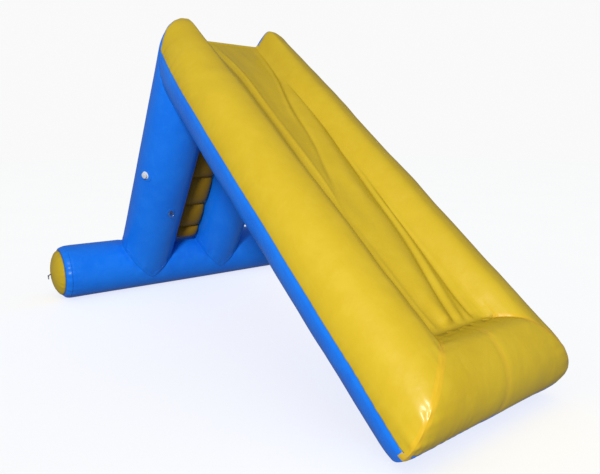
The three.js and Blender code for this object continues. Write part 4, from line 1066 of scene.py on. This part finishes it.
def d_ring(o, N, U, V, half, reach, r):
    pts = []
    at = lambda u, v: o + u * U + v * V
    for v in np.linspace(-half + 4, half - 4, 14):
        pts.append(at(0, v))
    for s in np.linspace(0, 1, 8)[1:]:
        pts.append(at((1 - s) ** 2 * 0 + 2 * s * (1 - s) * 0 + s * s * 5, (1 - s) ** 2 * (half - 4) + 2 * s * (1 - s) * half + s * s * half))
    for s in np.linspace(5, reach * 0.42, 6)[1:]:
        pts.append(at(s, half))
    for s in np.linspace(0, math.pi, 26)[1:-1]:
        pts.append(at(reach * 0.42 + reach * 0.58 * math.sin(s), half * math.cos(s)))
    for s in np.linspace(reach * 0.42, 5, 6):
        pts.append(at(s, -half))
    for s in np.linspace(0, 1, 8)[1:-1]:
        pts.append(at((1 - s) ** 2 * 5, -((1 - s) ** 2 * half + 2 * s * (1 - s) * half + s * s * (half - 4))))
    return wire(pts, r, 14, True, N)


# coil spring under the cap
pts = np.array([VO + 3.9 * math.cos(s) * VU + 3.9 * math.sin(s) * VV + (6.9 + 7.3 * s / (8 * math.pi)) * VN for s in np.linspace(0, 8 * math.pi, 240)])
G = wire(pts, 0.55, 10, False, VN)
caps = [np.repeat(G[:, :1].mean(0, keepdims=True), 10, 0), np.repeat(G[:, -1:].mean(0, keepdims=True), 10, 0)]
spring = solid("valve_spring_coil", [(np.concatenate([caps[0], G, caps[1]], 1), False)], M_STEEL, ["valve_spring"])
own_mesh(spring)

for side, sx in (("left", -1.0), ("right", 1.0)):
    rr = np.array([0.6, 8, 16, 24, 32, 39, 43.0])[None, :]
    phi = RPHI + rr * np.cos(a) / LEG_R
    P = leg_front(sx, LEG_R + 2.0, phi, RK + rr * np.sin(a))
    sheet("leg_ring_patch_fabric_" + side, P, M_BLUE_TAPE, ["leg_ring_patch_" + side], closed=True, centre=np.broadcast_to(leg(sx * LEG_X, 0, RK), P.shape), wall=0.0014, grime_and_painted_shade=0.15)
    o = leg_front(sx, LEG_R + 1.9, RPHI, RK)
    n = leg_front(sx, LEG_R + 100, RPHI, RK) - o
    fo, fn, fu, fv = frame_at(o, n, -UP)
    bar = fo + 8 * fn
    hinge = np.cross(fu, fn)
    down = unit(np.array([0, 0, -1.0]) + hinge * hinge[2])
    ro, rn, ru, rv = frame_at(bar, np.cross(hinge, down), down)
    solid("leg_ring_wire_" + side, [(d_ring(ro, rn, ru, rv, 20, 36, 2.6), True)], M_STEEL, ["leg_ring_" + side], "leg_ring_%s_body" % side)

    capx = lambda r: BASE_HALF + CAP_BULGE * np.maximum(0, 1 - (r / 211.8) ** 2) ** 0.62
    rr = np.array([0.6, 9, 18, 27, 33, 36.0])[None, :]
    P = base_at(sx * (capx(rr) + 1.8 + 0 * a), rr + 0 * a, a)
    sheet("cap_ring_patch_fabric_" + side, P, M_YELLOW_TAPE, ["cap_ring_patch_" + side], closed=True, centre=base_at(sx * 1000.0, 0, 0) + 0 * P, wall=0.0014, grime_and_painted_shade=0.15)
    g0 = base_at(sx * (capx(0) + 1.9), 0, 0) + np.array([sx * 0.5, 0, 0])
    ga = math.radians(34)
    go, gn, gu, gv = frame_at(g0, [sx * math.sin(ga), 0, math.cos(ga)], [sx * math.cos(ga), 0, -math.sin(ga)])
    bar = go + 29 * gu
    ro, rn, ru, rv = frame_at(bar, [sx, 0, 0], [0, 0, -1])
    solid("cap_ring_wire_" + side, [(d_ring(ro, rn, ru, rv, 18, 32, 2.3), True)], M_DARK, ["cap_ring_" + side], "cap_ring_%s_body" % side)

# ------------------------------------------------------------------------------------------------ stage, camera, light
def stage_mat():
    m = Nodes("studio_floor")
    pos = m.add("ShaderNodeTexCoord").outputs["Object"]
    m.link(m.mix(m.noise(0.6, 3, 0.5, pos), (0.955, 0.955, 0.95, 1), (0.975, 0.975, 0.97, 1)), m.bsdf.inputs["Base Color"])
    m.bsdf.inputs["Roughness"].default_value = 0.9
    m.bsdf.inputs["Specular IOR Level"].default_value = 0.1
    return m.mat


me = bpy.data.meshes.new("studio_floor")
S = 40.0
me.from_pydata([(-S, -S, -0.0005), (S, -S, -0.0005), (S, S, -0.0005), (-S, S, -0.0005)], [], [(0, 1, 2, 3)])
me.materials.append(stage_mat())
floor = bpy.data.objects.new("studio_floor", me)
bpy.context.scene.collection.objects.link(floor)
floor.visible_diffuse = False
floor.visible_glossy = False

cam_data = bpy.data.cameras.new("camera")
cam_data.sensor_width, cam_data.lens = 36.0, 31.52
cam_data.clip_start, cam_data.clip_end = 0.05, 200.0
cam = bpy.data.objects.new("camera", cam_data)
bpy.context.scene.collection.objects.link(cam)
M = Matrix(((0.7992, 0.1042, -0.592, -2.299), (-0.6011, 0.1447, -0.786, -3.402), (0.0038, 0.984, 0.1782, 1.4775), (0, 0, 0, 1)))
cam.matrix_world = Matrix.Translation(M.translation) @ M.to_3x3().to_quaternion().to_matrix().to_4x4()
bpy.context.scene.camera = cam


def area(name, loc, target, size, power, colour=(1, 1, 1)):
    d = bpy.data.lights.new(name, "AREA")
    d.shape = "RECTANGLE"
    d.size, d.size_y = size
    d.energy = power
    d.color = colour
    o = bpy.data.objects.new(name, d)
    bpy.context.scene.collection.objects.link(o)
    o.location = loc
    o.rotation_euler = (Vector(target) - Vector(loc)).to_track_quat("-Z", "Y").to_euler()
    return o


KEY = Vector((-0.60, -0.69, 0.43)).normalized()
key = area("key", Vector((0, 0, 1.0)) + KEY * 11.0, (0, 0, 1.0), (1.4, 1.4), 1120, (1.0, 0.985, 0.955))
fill = area("fill", (-6.5, -6.0, 1.2), (0, 0, 0.9), (3.0, 2.0), 190)
rim = area("rim", (7.0, 6.0, 3.2), (0, 0.5, 1.0), (5.0, 3.0), 260)
# the key lights the object alone; the floor has an even light of its own that nothing shades
own = bpy.data.collections.new("object_lit")
ground = bpy.data.collections.new("floor_lit")
ground.objects.link(floor)
for o in bpy.context.scene.objects:
    if o.type == "MESH" and o is not floor:
        own.objects.link(o)
open_side = bpy.data.collections.new("object_without_pad")
for o in own.objects:
    if "climbing_pad" not in o.name:
        open_side.objects.link(o)
key.light_linking.receiver_collection = own
for lamp in (rim, fill):
    lamp.light_linking.receiver_collection = open_side
    lamp.visible_glossy = False
wash = bpy.data.objects.new("floor_wash", bpy.data.lights.new("floor_wash", "SUN"))
wash.data.energy = 2.45
wash.data.angle = 0.5
bpy.context.scene.collection.objects.link(wash)
wash.light_linking.receiver_collection = ground
wash.light_linking.blocker_collection = ground

world = bpy.data.worlds.new("studio")
world.use_nodes = True
wt = world.node_tree
bg = wt.nodes["Background"]
bg.inputs["Color"].default_value = (0.93, 0.96, 1.0, 1)
bg.inputs["Strength"].default_value = 0.24
shown = wt.nodes.new("ShaderNodeBackground")
shown.inputs["Color"].default_value = (1, 1, 1, 1)
shown.inputs["Strength"].default_value = 0.95
mixer = wt.nodes.new("ShaderNodeMixShader")
path = wt.nodes.new("ShaderNodeLightPath")
wt.links.new(path.outputs["Is Camera Ray"], mixer.inputs[0])
wt.links.new(bg.outputs[0], mixer.inputs[1])
wt.links.new(shown.outputs[0], mixer.inputs[2])
wt.links.new(mixer.outputs[0], wt.nodes["World Output"].inputs["Surface"])
bpy.context.scene.world = world
bpy.context.scene.view_settings.view_transform = "Standard"
